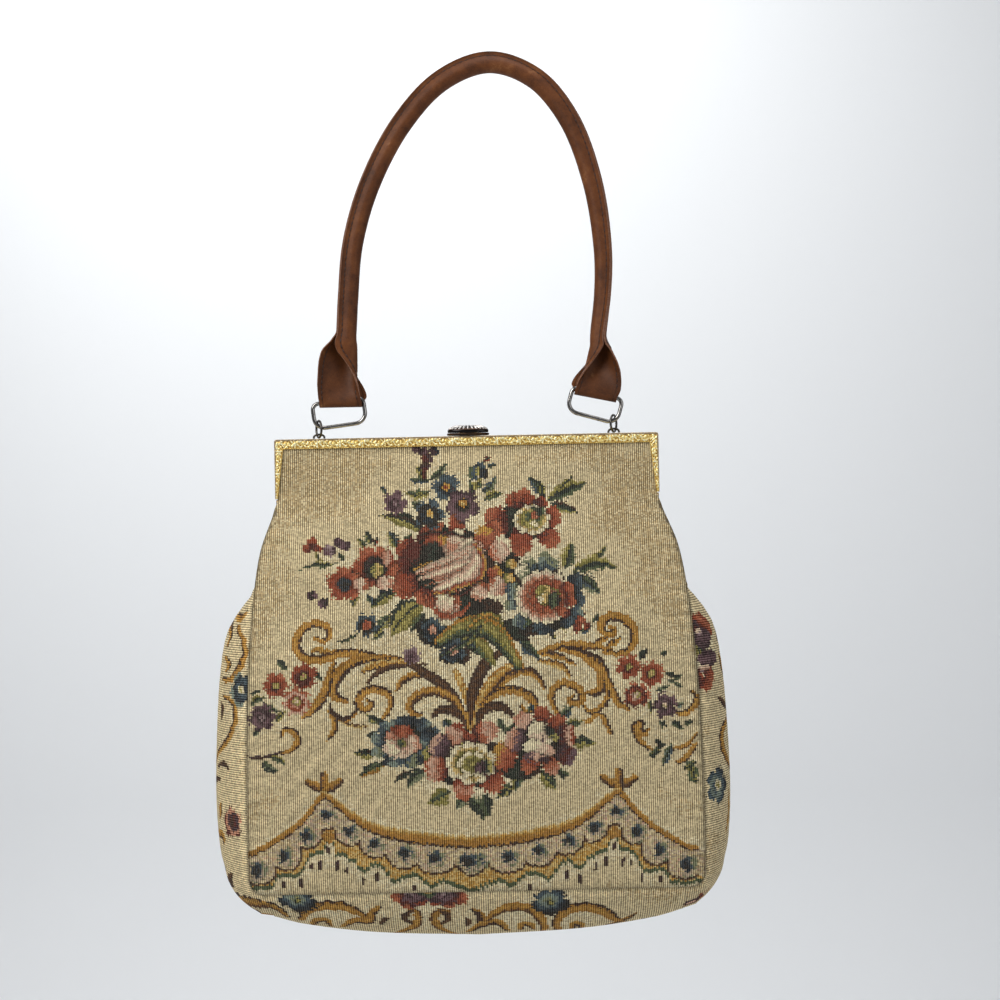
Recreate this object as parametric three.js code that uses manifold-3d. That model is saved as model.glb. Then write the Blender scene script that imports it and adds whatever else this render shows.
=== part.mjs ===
// Tapestry clasp-frame handbag with one rolled strap handle, hanging from the top of that handle.
// Millimetres: +Z up, -Y to the front, +X to the viewer's right. The origin is the underside of the
// handle's top. The bag keeps its own frame inside: the middle of the metal frame's top edge.
import * as THREE from 'three';
import { mergeVertices } from 'three/addons/utils/BufferGeometryUtils.js';
import Module from 'manifold-3d';

const kernel = await Module();
kernel.setup();

// metal frame: two channels, open downwards and inwards, one for each cloth panel
const FRAME_WIDTH = 216;
const FRAME_FACE = 5.6;
const FRAME_DEPTH = 4.4;
const FRAME_WALL = 0.8;
const HALF_GAP = 0.2;
const LEG_LENGTH = 33.5;
const LEG_TOP = 5;
const LEG_TIP = 1.5;
const BOSS_PITCH = 6.2;
const HINGE_RADIUS = 1.6;
const HINGE_LENGTH = 4;

// clasp: a lever plate on a pin behind the frame, with a domed ornament on it
const CLASP_X = 1;
const CLASP_PIN_Y = 7.4;
const CLASP_PIN_Z = 1.5;
const CLASP_PIN_RADIUS = 0.55;
const CLASP_KNUCKLE_RADIUS = 1.25;
const CLASP_KNUCKLE_HALF = 3.6;
const CLASP_HALF_LENGTH = 11.9;
const CLASP_HALF_DEPTH = 5.6;
const CLASP_TOP = 6.3;
const CLASP_LUMPS = 20;

// wire parts
const EYE_X = 83.4;
const EYE_WIRE = 1.2;
const EYE_HALF = 3;
const EYE_TOP = 2.6;
const JUMP_RADIUS = 4.7;
const JUMP_WIRE = 1.3;
const RING_HALF_LENGTH = 14.55;
const RING_HALF_HEIGHT = 7.05;
const RING_TOP_CORNER = 3.5;
const RING_LOW_CORNER = 6;
const RING_WIRE = 2.4;
const RING_HOLD = 3.9;
const RING_PLAY = 1.15;
const WIRE_PLAY = 0.35;

// handle: a strip rolled to a tube, its two edges sewn together as a narrow fin
const HANDLE_Y = 2.4;
const STRIP = 1.6;
const ROLL_RADIUS = 4;
const FIN_HALF_GAP = 1;
const FIN_FILLET = 1;
const FIN_LENGTH = 2.4;
const TAB_HALF = 11.2;
const TAB_END = 21;
const TAB_END_SHARE = 0.4;
const TAB_LEAN = 2.4;
const TAB_SHIFT = 2.6;
const FOLD_STEPS = 6;
const OPEN_ROWS = 8;
const ARCH_ROWS = 22;

// cloth
const CLOTH = 1.8;
const SEAM_GAP = 0.25;
const CORNER = 9;
const CORNER_DROP = 240;
const HELD_ROWS = [2, 7.2, 15, 24, 34];
const GUSSET_START = 40;
const SIDE_ROWS = 13;
const CORNER_ROWS = 4;
const COLUMNS = 18;
const GUSSET_STEPS = 6;

// where the bag's own frame sits under the hanging point
const HANG = { x: 17.4, z: 205.2 };

// panel sections: drop below the frame's top, half width, depth of edge and middle, lean to the right
const PANEL = [
  { drop: 2, half: 106, side: 3.3, mid: 3.3, lean: 0 },
  { drop: 7.6, half: 106.2, side: 3.3, mid: 3.4, lean: 0 },
  { drop: 15, half: 106.4, side: 3.3, mid: 8, lean: 0 },
  { drop: 24, half: 106.6, side: 3.3, mid: 12, lean: 0 },
  { drop: 33.5, half: 106.7, side: 3.4, mid: 16, lean: 0 },
  { drop: 40, half: 108.8, side: 4.8, mid: 18.5, lean: 0 },
  { drop: 50, half: 112.8, side: 7.6, mid: 22, lean: 0.2 },
  { drop: 62, half: 116.8, side: 12, mid: 25.5, lean: 0.5 },
  { drop: 78, half: 119.4, side: 17.8, mid: 29.5, lean: 0.8 },
  { drop: 98, half: 121.2, side: 24, mid: 33.5, lean: 1.1 },
  { drop: 125, half: 123, side: 29.5, mid: 37.5, lean: 1.4 },
  { drop: 160, half: 124.2, side: 33.2, mid: 40.5, lean: 1.6 },
  { drop: 200, half: 124.8, side: 35.6, mid: 41.5, lean: 1.8 },
  { drop: 232, half: 124.6, side: 36.2, mid: 40, lean: 1.9 },
  { drop: 249, half: 124.2, side: 35.6, mid: 36.6, lean: 1.9 },
];

// soft folds of a panel: middle, direction in degrees, length, width and height
const FOLDS = [
  { x: -92, drop: 122, turn: -38, length: 70, width: 13, height: 2.2 },
  { x: -98, drop: 160, turn: -24, length: 60, width: 12, height: 1.6 },
  { x: 96, drop: 108, turn: 40, length: 74, width: 13, height: 2.2 },
  { x: 100, drop: 150, turn: 28, length: 60, width: 12, height: 1.6 },
  { x: 0, drop: 34, turn: 0, length: 150, width: 14, height: -1.4 },
];

// how far the gusset swells out of the seam: down the sides, and across the bottom
const SIDE_SWELL = [
  { drop: 42, swell: -1.2 },
  { drop: 54, swell: -3.2 },
  { drop: 66, swell: -3.4 },
  { drop: 78, swell: -1.2 },
  { drop: 88, swell: 3.2 },
  { drop: 98, swell: 10 },
  { drop: 110, swell: 15.5 },
  { drop: 130, swell: 18.2 },
  { drop: 160, swell: 19.6 },
  { drop: 200, swell: 20.2 },
  { drop: 228, swell: 18.6 },
  { drop: 240, swell: 16 },
  { drop: 246, swell: 14.8 },
  { drop: 248.2, swell: 16 },
  { drop: 249, swell: 18.4 },
];
const BOTTOM_SWELL = [
  { across: 0, swell: 31.8 },
  { across: 58, swell: 29.2 },
  { across: 98, swell: 23.6 },
  { across: 116, swell: 18.4 },
];

// middle line of the handle between its two rings
const HANDLE_LINE = [
  { x: -68.6, z: 42 },
  { x: -66, z: 57 },
  { x: -64.4, z: 78 },
  { x: -61, z: 110 },
  { x: -50.6, z: 143.5 },
  { x: -31.6, z: 177.6 },
  { x: -8.6, z: 201 },
  { x: 17.4, z: 210 },
  { x: 41.6, z: 201 },
  { x: 60.4, z: 178 },
  { x: 73.2, z: 142.6 },
  { x: 78.8, z: 104 },
  { x: 78.4, z: 78 },
  { x: 76, z: 58 },
  { x: 74.6, z: 42 },
];

// way the fin points along the handle: degrees from the front towards the outside of the arch
const FIN_TURN = [
  { share: 0, turn: 0 },
  { share: 0.05, turn: 14 },
  { share: 0.12, turn: 36 },
  { share: 0.24, turn: 46 },
  { share: 0.36, turn: 62 },
  { share: 0.5, turn: 80 },
  { share: 0.64, turn: 60 },
  { share: 0.78, turn: 42 },
  { share: 0.9, turn: 26 },
  { share: 0.96, turn: 10 },
  { share: 1, turn: 0 },
];

// the two ends of the handle: tilt of the ring in degrees, and where the strip has closed to a tube
const SIDES = [
  { name: 'left', sign: -1, tilt: 7, closed: 38 },
  { name: 'right', sign: 1, tilt: -16, closed: 33 },
];

const gilt = new THREE.MeshStandardMaterial({ color: 0xc79a3e, metalness: 1, roughness: 0.3 });
const nickel = new THREE.MeshStandardMaterial({ color: 0xb9b6b0, metalness: 1, roughness: 0.28 });
const leather = new THREE.MeshStandardMaterial({ color: 0x5a2f1c, roughness: 0.5 });
const tapestry = new THREE.MeshStandardMaterial({ color: 0xa89476, roughness: 0.95 });

const radians = THREE.MathUtils.degToRad;
const mix = THREE.MathUtils.lerp;
const clamp = THREE.MathUtils.clamp;
const smoothstep = THREE.MathUtils.smoothstep;

// a table column read smoothly against another column
function reading(table, by, name) {
  const slope = (i) => {
    const a = table[Math.max(i - 1, 0)];
    const b = table[Math.min(i + 1, table.length - 1)];
    return (b[name] - a[name]) / (b[by] - a[by]);
  };
  return (value) => {
    const at = clamp(value, table[0][by], table[table.length - 1][by]);
    let i = 0;
    while (i < table.length - 2 && table[i + 1][by] < at) i += 1;
    const span = table[i + 1][by] - table[i][by];
    const s = (at - table[i][by]) / span;
    const rise = table[i + 1][name] - table[i][name];
    const start = slope(i) * span;
    const end = slope(i + 1) * span;
    const curve = (start + end - 2 * rise) * s + 3 * rise - 2 * start - end;
    return table[i][name] + s * (start + s * curve);
  };
}

function toSolid(geometry) {
  const loose = geometry.index ? geometry.toNonIndexed() : geometry;
  const bare = new THREE.BufferGeometry();
  bare.setAttribute('position', loose.getAttribute('position'));
  const merged = mergeVertices(bare, 1e-4);
  return new kernel.Manifold(
    new kernel.Mesh({
      numProp: 3,
      vertProperties: merged.attributes.position.array,
      triVerts: new Uint32Array(merged.index.array),
    }),
  );
}

function toGeometry(solid) {
  const found = solid.getMesh();
  const geometry = new THREE.BufferGeometry();
  geometry.setAttribute('position', new THREE.BufferAttribute(new Float32Array(found.vertProperties), 3));
  geometry.setIndex(Array.from(found.triVerts));
  geometry.computeVertexNormals();
  return geometry;
}

function joined(parts) {
  return parts.map(toSolid).reduce((sum, part) => sum.add(part));
}

function signedVolume(points, index) {
  let sum = 0;
  for (let i = 0; i < index.length; i += 3) {
    const [a, b, c] = [points[index[i]], points[index[i + 1]], points[index[i + 2]]];
    sum += a.dot(b.clone().cross(c));
  }
  return sum;
}

// closed wall between two point grids of the same rows and columns
function wall(outer, inner) {
  const rows = outer.length;
  const columns = outer[0].length;
  const points = [...outer.flat(), ...inner.flat()];
  const out = (r, c) => r * columns + c;
  const back = (r, c) => (rows + r) * columns + c;
  const index = [];
  const quad = (a, b, c, d) => index.push(a, b, c, a, c, d);
  for (let r = 0; r < rows - 1; r += 1) {
    for (let c = 0; c < columns - 1; c += 1) {
      quad(out(r, c), out(r + 1, c), out(r + 1, c + 1), out(r, c + 1));
      quad(back(r, c), back(r, c + 1), back(r + 1, c + 1), back(r + 1, c));
    }
    const last = columns - 1;
    quad(out(r, 0), back(r, 0), back(r + 1, 0), out(r + 1, 0));
    quad(out(r, last), out(r + 1, last), back(r + 1, last), back(r, last));
  }
  for (let c = 0; c < columns - 1; c += 1) {
    const last = rows - 1;
    quad(out(0, c), out(0, c + 1), back(0, c + 1), back(0, c));
    quad(out(last, c), back(last, c), back(last, c + 1), out(last, c + 1));
  }
  if (signedVolume(points, index) < 0) index.reverse();
  const geometry = new THREE.BufferGeometry().setFromPoints(points);
  geometry.setIndex(index);
  geometry.computeVertexNormals();
  return geometry;
}

// a flat outline in x and z, pushed from y = from to y = to
function slab(outline, from, to) {
  const shape = new THREE.Shape(outline.map(([x, z]) => new THREE.Vector2(x, z)));
  const geometry = new THREE.ExtrudeGeometry(shape, { depth: to - from, bevelEnabled: false });
  return geometry.rotateX(Math.PI / 2).translate(0, to, 0);
}

// a flat outline in y and z, pushed from x = from to x = to
function plate(outline, from, to) {
  const shape = new THREE.Shape(outline.map(([y, z]) => new THREE.Vector2(y, z)));
  const geometry = new THREE.ExtrudeGeometry(shape, { depth: to - from, bevelEnabled: false });
  return geometry.rotateY(Math.PI / 2).rotateX(Math.PI / 2).translate(from, 0, 0);
}

function rod(radius, from, to, y, z, sides) {
  const geometry = new THREE.CylinderGeometry(radius, radius, to - from, sides);
  return geometry.rotateZ(Math.PI / 2).translate((from + to) / 2, y, z);
}

// metal frame

function legWidth(drop) {
  return mix(LEG_TOP, LEG_TIP, clamp((drop - FRAME_FACE) / (LEG_LENGTH - FRAME_FACE), 0, 1));
}

function frameHalf(side) {
  const edge = FRAME_WIDTH / 2;
  const near = HALF_GAP;
  const far = HALF_GAP + FRAME_DEPTH;
  const span = (a, b) => (side < 0 ? [-b, -a] : [a, b]);
  const outline = [
    [-edge, -1.6],
    [-edge + 1.6, 0],
    [edge - 1.6, 0],
    [edge, -1.6],
    [edge, -LEG_LENGTH],
    [edge - LEG_TIP, -LEG_LENGTH],
    [edge - LEG_TOP, -FRAME_FACE],
    [-edge + LEG_TOP, -FRAME_FACE],
    [-edge + LEG_TIP, -LEG_LENGTH],
    [-edge, -LEG_LENGTH],
  ];
  const within = edge - FRAME_WALL;
  const slot = [
    [-within, -FRAME_WALL],
    [within, -FRAME_WALL],
    [within, -LEG_LENGTH - 1],
    [edge - LEG_TIP - 0.6, -LEG_LENGTH - 1],
    [edge - LEG_TOP - 1, -FRAME_FACE - 1],
    [-edge + LEG_TOP + 1, -FRAME_FACE - 1],
    [-edge + LEG_TIP + 0.6, -LEG_LENGTH - 1],
    [-within, -LEG_LENGTH - 1],
  ];
  const channel = toSolid(slab(outline, ...span(near, far))).subtract(
    toSolid(slab(slot, ...span(near + FRAME_WALL, far - FRAME_WALL))),
  );
  return bosses(side).reduce((sum, boss) => sum.add(toSolid(boss)), channel);
}

// low four-sided bosses of the stamped face
function bosses(side) {
  const found = [];
  const face = side * (HALF_GAP + FRAME_DEPTH);
  const place = (x, z, radius) => {
    const boss = new THREE.ConeGeometry(radius, 0.9, 4);
    if (side < 0) boss.rotateX(Math.PI);
    found.push(boss.translate(x, face + side * 0.2, z));
  };
  const count = Math.floor((FRAME_WIDTH - 8) / BOSS_PITCH);
  for (let i = 0; i <= count; i += 1) place((i - count / 2) * BOSS_PITCH, -FRAME_FACE / 2, 2);
  for (const sign of [-1, 1]) {
    for (const drop of [10, 15, 19.5]) {
      const width = legWidth(drop);
      place(sign * (FRAME_WIDTH / 2 - width / 2), -drop, width * 0.36);
    }
  }
  return found;
}

function frameFront() {
  const stud = new THREE.CylinderGeometry(0.9, 0.9, 1.7, 12);
  stud.rotateX(Math.PI / 2).translate(CLASP_X, -2.4, 0.35);
  return toGeometry(frameHalf(-1).add(toSolid(stud)));
}

function frameBack() {
  const bracket = [
    [3.9, -3],
    [4.5, -3],
    [8.3, 0.5],
    [8.7, 1.4],
    [8.3, 2.4],
    [7.4, 2.75],
    [6.5, 2.4],
    [6.1, 1.5],
    [5.5, 0],
    [3.9, -0.3],
  ];
  const near = CLASP_KNUCKLE_HALF + 0.4;
  const parts = [
    plate(bracket, CLASP_X + near, CLASP_X + near + 1.1),
    plate(bracket, CLASP_X - near - 1.1, CLASP_X - near),
    rod(CLASP_PIN_RADIUS, CLASP_X - near - 0.6, CLASP_X + near + 0.6, CLASP_PIN_Y, CLASP_PIN_Z, 12),
  ];
  return toGeometry(frameHalf(1).add(joined(parts)));
}

function hinge(sign) {
  const end = sign * (FRAME_WIDTH / 2 - 0.2);
  const start = end - sign * HINGE_LENGTH;
  const drop = LEG_LENGTH + HINGE_RADIUS + 0.4;
  return rod(HINGE_RADIUS, Math.min(start, end), Math.max(start, end), 0, -drop, 14);
}

// clasp

function claspLever() {
  const oval = new THREE.CylinderGeometry(1, 1, 1.3, 28);
  oval.rotateX(Math.PI / 2).scale(CLASP_HALF_LENGTH, CLASP_HALF_DEPTH, 1).translate(CLASP_X, -0.2, 1.05);
  const tongue = new THREE.BoxGeometry(2 * CLASP_KNUCKLE_HALF, CLASP_PIN_Y - 3, 1.1);
  tongue.translate(CLASP_X, (CLASP_PIN_Y + 3) / 2, 1.1);
  const from = CLASP_X - CLASP_KNUCKLE_HALF;
  const to = CLASP_X + CLASP_KNUCKLE_HALF;
  const knuckle = rod(CLASP_KNUCKLE_RADIUS, from, to, CLASP_PIN_Y, CLASP_PIN_Z, 14);
  const bore = rod(CLASP_PIN_RADIUS + 0.3, from - 1, to + 1, CLASP_PIN_Y, CLASP_PIN_Z, 14);
  const pocket = new THREE.CylinderGeometry(1.35, 1.35, 4, 14);
  pocket.rotateX(Math.PI / 2).translate(CLASP_X, -2.4, 1);
  const body = joined([oval, tongue, knuckle]);
  return toGeometry(body.subtract(toSolid(bore)).subtract(toSolid(pocket)));
}

function claspDome() {
  const base = 2;
  const rise = CLASP_TOP - base;
  const profile = [new THREE.Vector2(0, 0), new THREE.Vector2(1, 0), new THREE.Vector2(1, 0.16)];
  for (let i = 1; i <= 5; i += 1) {
    const turn = (i / 5) * (Math.PI / 2);
    profile.push(new THREE.Vector2(Math.cos(turn), 0.16 + 0.84 * Math.sin(turn)));
  }
  profile[profile.length - 1].x = 0;
  const dome = new THREE.LatheGeometry(profile, 20).rotateX(Math.PI / 2);
  dome.scale(CLASP_HALF_LENGTH - 0.5, CLASP_HALF_DEPTH - 0.4, rise).translate(CLASP_X, -0.2, base);
  const parts = [dome];
  for (let i = 0; i < CLASP_LUMPS; i += 1) {
    const turn = (i / CLASP_LUMPS) * 2 * Math.PI;
    const lump = new THREE.OctahedronGeometry(1, 0).scale(0.9, 0.9, 1.6).rotateX(radians(38));
    lump.rotateZ(turn);
    const x = CLASP_X + Math.cos(turn) * (CLASP_HALF_LENGTH - 1.5);
    const y = -0.2 + Math.sin(turn) * (CLASP_HALF_DEPTH - 1.2);
    parts.push(lump.translate(x, y, base + rise * 0.48));
  }
  return toGeometry(joined(parts));
}

// wire parts

function wireSection(wire, sides) {
  const turns = Array.from({ length: sides }, (_, i) => (i / sides) * 2 * Math.PI);
  const radius = wire / 2;
  return new THREE.Shape(turns.map((a) => new THREE.Vector2(radius * Math.cos(a), radius * Math.sin(a))));
}

function handleEye(sign) {
  const points = [new THREE.Vector3(-EYE_HALF, 0, 0.3)];
  for (let i = 0; i <= 10; i += 1) {
    const turn = Math.PI * (1 - i / 10);
    points.push(new THREE.Vector3(EYE_HALF * Math.cos(turn), 0, 0.9 + (EYE_TOP - 0.9) * Math.sin(turn)));
  }
  points.push(new THREE.Vector3(EYE_HALF, 0, 0.3));
  const extrudePath = new THREE.CatmullRomCurve3(points);
  const options = { steps: 12, bevelEnabled: false, extrudePath };
  return new THREE.ExtrudeGeometry(wireSection(EYE_WIRE, 6), options).translate(sign * EYE_X, HANDLE_Y, 0.08);
}

function jumpCentre() {
  return EYE_TOP - EYE_WIRE / 2 - WIRE_PLAY - JUMP_WIRE / 2 + JUMP_RADIUS;
}

function jumpRing(sign) {
  const ring = new THREE.TorusGeometry(JUMP_RADIUS, JUMP_WIRE / 2, 6, 14);
  ring.rotateX(Math.PI / 2).rotateZ(Math.PI / 2 - sign * radians(24));
  return ring.translate(sign * EYE_X, HANDLE_Y, jumpCentre());
}

// rounded oblong of the ring, in its own x and z, and how it hangs in its jump ring
function ringOutline() {
  const a = RING_HALF_LENGTH;
  const b = RING_HALF_HEIGHT;
  const shape = new THREE.Path();
  shape.moveTo(0, -b);
  shape.lineTo(a - RING_LOW_CORNER, -b);
  shape.absarc(a - RING_LOW_CORNER, -b + RING_LOW_CORNER, RING_LOW_CORNER, -Math.PI / 2, 0);
  shape.absarc(a - RING_TOP_CORNER, b - RING_TOP_CORNER, RING_TOP_CORNER, 0, Math.PI / 2);
  shape.absarc(-a + RING_TOP_CORNER, b - RING_TOP_CORNER, RING_TOP_CORNER, Math.PI / 2, Math.PI);
  shape.absarc(-a + RING_LOW_CORNER, -b + RING_LOW_CORNER, RING_LOW_CORNER, Math.PI, 1.5 * Math.PI);
  shape.lineTo(0, -b);
  return shape.getSpacedPoints(44).slice(0, -1);
}

function turned(x, z, degrees) {
  const turn = radians(degrees);
  const [cos, sin] = [Math.cos(turn), Math.sin(turn)];
  return new THREE.Vector3(x * cos - z * sin, 0, x * sin + z * cos);
}

function ringCentre({ sign, tilt }) {
  const hold = RING_HALF_LENGTH - RING_LOW_CORNER + RING_HOLD;
  const low = -RING_HALF_HEIGHT + RING_LOW_CORNER - Math.sqrt(RING_LOW_CORNER ** 2 - RING_HOLD ** 2);
  const top = jumpCentre() + JUMP_RADIUS - JUMP_WIRE / 2 - RING_PLAY - RING_WIRE / 2;
  return new THREE.Vector3(sign * EYE_X, HANDLE_Y, top).sub(turned(sign * hold, low, tilt));
}

function handleRing(side) {
  const centre = ringCentre(side);
  const points = ringOutline().map((p) => turned(p.x, p.y, side.tilt).add(centre));
  const line = new THREE.CatmullRomCurve3(points, true, 'centripetal');
  return new THREE.TubeGeometry(line, 30, RING_WIRE / 2, 8, true);
}

// handle

// middle line of the rolled strip's half section: lengths of roll, fillet and fin, and their headings
function rolledHalf() {
  const out = FIN_HALF_GAP + FIN_FILLET;
  const reach = ROLL_RADIUS + FIN_FILLET;
  const roll = Math.PI - Math.asin(out / reach);
  const fillet = roll - Math.PI / 2;
  return { roll, fillet, rollLength: roll * ROLL_RADIUS, filletLength: fillet * FIN_FILLET };
}

// half section at a closing share: points with their outward normals, from the back to the edge
function halfSection(closing, widthShare) {
  const { roll, fillet, rollLength, filletLength } = rolledHalf();
  const total = rollLength + filletLength + FIN_LENGTH;
  const marks = [0, 0.25, 0.5, 0.75, 1].map((s) => s * rollLength);
  marks.push(rollLength + filletLength, total);
  const heading = (s) => {
    if (s <= rollLength) return (closing * roll * s) / rollLength;
    const back = Math.min((s - rollLength) / filletLength, 1);
    return closing * (roll - fillet * back);
  };
  const found = [];
  const fine = 160;
  let p = 0;
  let q = 0;
  let next = 0;
  for (let i = 0; i <= fine; i += 1) {
    const s = (i / fine) * total;
    if (next < marks.length && s >= marks[next] - 1e-6) {
      const turn = heading(s);
      found.push({ p: p * widthShare, q, turn });
      next += 1;
    }
    const middle = heading(s + total / fine / 2);
    p += (Math.cos(middle) * total) / fine;
    q += (Math.sin(middle) * total) / fine;
  }
  return found;
}

// outer and inner points of a whole section, in its p (across) and q (to the fin) directions
function stripSection(closing, widthShare, backAt) {
  const half = halfSection(closing, widthShare);
  const offset = (point, sign, by) => ({
    p: sign * (point.p + by * Math.sin(point.turn)),
    q: backAt + point.q - by * Math.cos(point.turn),
  });
  const both = (by) => [
    ...half.slice(1).reverse().map((point) => offset(point, -1, by)),
    ...half.map((point) => offset(point, 1, by)),
  ];
  return { outer: both(STRIP / 2), inner: both(-STRIP / 2) };
}

function barMiddle(side) {
  return ringCentre(side).add(turned(0, RING_HALF_HEIGHT, side.tilt));
}

function handleLine() {
  const between = HANDLE_LINE.map(({ x, z }) => new THREE.Vector3(x, HANDLE_Y, z));
  const points = [barMiddle(SIDES[0]), ...between, barMiddle(SIDES[1])];
  return new THREE.CatmullRomCurve3(points, false, 'centripetal');
}

const front = new THREE.Vector3(0, -1, 0);
const foldRadius = RING_WIRE / 2 + WIRE_PLAY + STRIP / 2;
const tabShare = TAB_HALF / (rolledHalf().rollLength + rolledHalf().filletLength + FIN_LENGTH);

// rows of the flat strip at one end: down the loose end behind, then round the ring's bar to the front
function tabRows(side) {
  const centre = barMiddle(side);
  const across = turned(side.sign, 0, side.tilt);
  const up = turned(0, 1, side.tilt);
  const loose = [1, 0.66, 0.33].map((share) => ({
    centre: centre.clone().addScaledVector(up, share * TAB_END).addScaledVector(across, -share * TAB_SHIFT),
    across,
    ahead: front.clone().negate(),
    closing: 0,
    width: tabShare * mix(1, TAB_END_SHARE, smoothstep(share, 0.15, 1)),
    backAt: foldRadius + TAB_LEAN * smoothstep(share, 0.1, 1),
  }));
  const folded = Array.from({ length: FOLD_STEPS + 1 }, (_, i) => {
    const turn = Math.PI * (1 - i / FOLD_STEPS);
    const ahead = front.clone().multiplyScalar(Math.cos(turn)).addScaledVector(up, -Math.sin(turn));
    return { centre, across, ahead, closing: 0, width: tabShare, backAt: foldRadius };
  });
  return [...loose, ...folded];
}

// one row of the strip between the rings, at a distance along the handle's middle line
function rolledRow(line, distance) {
  const length = line.getLength();
  const share = distance / length;
  const side = SIDES[share < 0.5 ? 0 : 1];
  const height = Math.min(distance, length - distance);
  const way = line.getTangentAt(share);
  const outside = new THREE.Vector3(-way.z, 0, way.x);
  outside.lerp(turned(side.sign, 0, side.tilt), 1 - smoothstep(height, 0, 24)).normalize();
  const turn = radians(reading(FIN_TURN, 'share', 'turn')(share));
  const closing = smoothstep(height, 5, side.closed);
  return {
    centre: line.getPointAt(share),
    across: front.clone().multiplyScalar(-Math.sin(turn)).addScaledVector(outside, Math.cos(turn)),
    ahead: front.clone().multiplyScalar(Math.cos(turn)).addScaledVector(outside, Math.sin(turn)),
    closing,
    width: mix(tabShare, 1, smoothstep(height, 6, 26)),
    backAt: mix(foldRadius, -ROLL_RADIUS, closing),
  };
}

function handle() {
  const line = handleLine();
  const length = line.getLength();
  const opening = (side) => Array.from({ length: OPEN_ROWS }, (_, i) => (side.closed * (i + 1)) / OPEN_ROWS);
  const arch = Array.from({ length: ARCH_ROWS }, (_, i) =>
    mix(SIDES[0].closed, length - SIDES[1].closed, (i + 1) / (ARCH_ROWS + 1)),
  );
  const closing = opening(SIDES[1]).map((height) => length - height);
  const distances = [...opening(SIDES[0]), ...arch, ...closing.reverse()];
  const rows = [
    ...tabRows(SIDES[0]),
    ...distances.map((distance) => rolledRow(line, distance)),
    ...tabRows(SIDES[1]).reverse(),
  ];
  const sections = rows.map((row) => {
    const { centre, across, ahead } = row;
    const { outer, inner } = stripSection(row.closing, row.width, row.backAt);
    const place = ({ p, q }) => centre.clone().addScaledVector(across, p).addScaledVector(ahead, q);
    return { outer: outer.map(place), inner: inner.map(place) };
  });
  return wall(sections.map((section) => section.outer), sections.map((section) => section.inner));
}

// cloth

const halfAt = reading(PANEL, 'drop', 'half');
const sideAt = reading(PANEL, 'drop', 'side');
const midAt = reading(PANEL, 'drop', 'mid');
const leanAt = reading(PANEL, 'drop', 'lean');
const sideSwell = reading(SIDE_SWELL, 'drop', 'swell');
const bottomSwell = reading(BOTTOM_SWELL, 'across', 'swell');

function panelRows() {
  const rows = HELD_ROWS.map((drop) => ({ drop, half: halfAt(drop) }));
  for (let i = 0; i <= SIDE_ROWS; i += 1) {
    const drop = mix(GUSSET_START, CORNER_DROP, (i / SIDE_ROWS) ** 1.1);
    rows.push({ drop, half: halfAt(drop) });
  }
  for (let i = 1; i <= CORNER_ROWS; i += 1) {
    const turn = (i / CORNER_ROWS) * (Math.PI / 2);
    const drop = CORNER_DROP + CORNER * Math.sin(turn);
    rows.push({ drop, half: halfAt(drop) - CORNER * (1 - Math.cos(turn)) });
  }
  return rows;
}

function foldHeight(x, drop) {
  return FOLDS.reduce((sum, fold) => {
    const turn = radians(fold.turn);
    const along = (x - fold.x) * Math.cos(turn) + (drop - fold.drop) * Math.sin(turn);
    const across = (drop - fold.drop) * Math.cos(turn) - (x - fold.x) * Math.sin(turn);
    const run = Math.exp(-((along / (fold.length / 2)) ** 4));
    return sum + fold.height * run * Math.exp(-((across / fold.width) ** 2));
  }, 0);
}

function panelPoint(row, u, side) {
  const { drop, half } = row;
  const x = u * half;
  const held = drop < LEG_LENGTH ? (legWidth(drop) + 1) / half : 0;
  const away = clamp((1 - Math.abs(u) - held) / (1 - held), 0, 1);
  const crown = 1 - (1 - away) ** 2.2;
  const loose = smoothstep(away, 0, 0.25) * smoothstep(drop, 8, 22) * (1 - smoothstep(drop, 215, 249));
  const depth = mix(sideAt(drop), midAt(drop), crown) + loose * foldHeight(x, drop);
  return new THREE.Vector3(x + leanAt(drop), side * depth, -drop);
}

// outer points of a panel, and its normals into the bag
function panelGrid(side) {
  const rows = panelRows();
  const across = Array.from({ length: COLUMNS + 1 }, (_, i) => {
    const s = (2 * i) / COLUMNS - 1;
    return Math.sign(s) * (1 - (1 - Math.abs(s)) ** 1.3);
  });
  const points = rows.map((row) => across.map((u) => panelPoint(row, u, side)));
  const last = rows.length - 1;
  const normals = points.map((line, r) =>
    line.map((_, c) => {
      const right = points[r][Math.min(c + 1, COLUMNS)].clone().sub(points[r][Math.max(c - 1, 0)]);
      const down = points[Math.min(r + 1, last)][c].clone().sub(points[Math.max(r - 1, 0)][c]);
      const inward = right.cross(down).normalize();
      return inward.y * side > 0 ? inward.negate() : inward;
    }),
  );
  return { rows, points, normals };
}

// places of the sewn border in order: down the left, along the bottom, up the right
function border(grid) {
  const last = grid.rows.length - 1;
  const first = grid.rows.findIndex((row) => row.drop >= GUSSET_START - 0.1);
  const places = [];
  for (let r = first; r <= last; r += 1) places.push([r, 0]);
  for (let c = 1; c < COLUMNS; c += 1) places.push([last, c]);
  for (let r = last; r >= first; r -= 1) places.push([r, COLUMNS]);
  return places;
}

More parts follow.
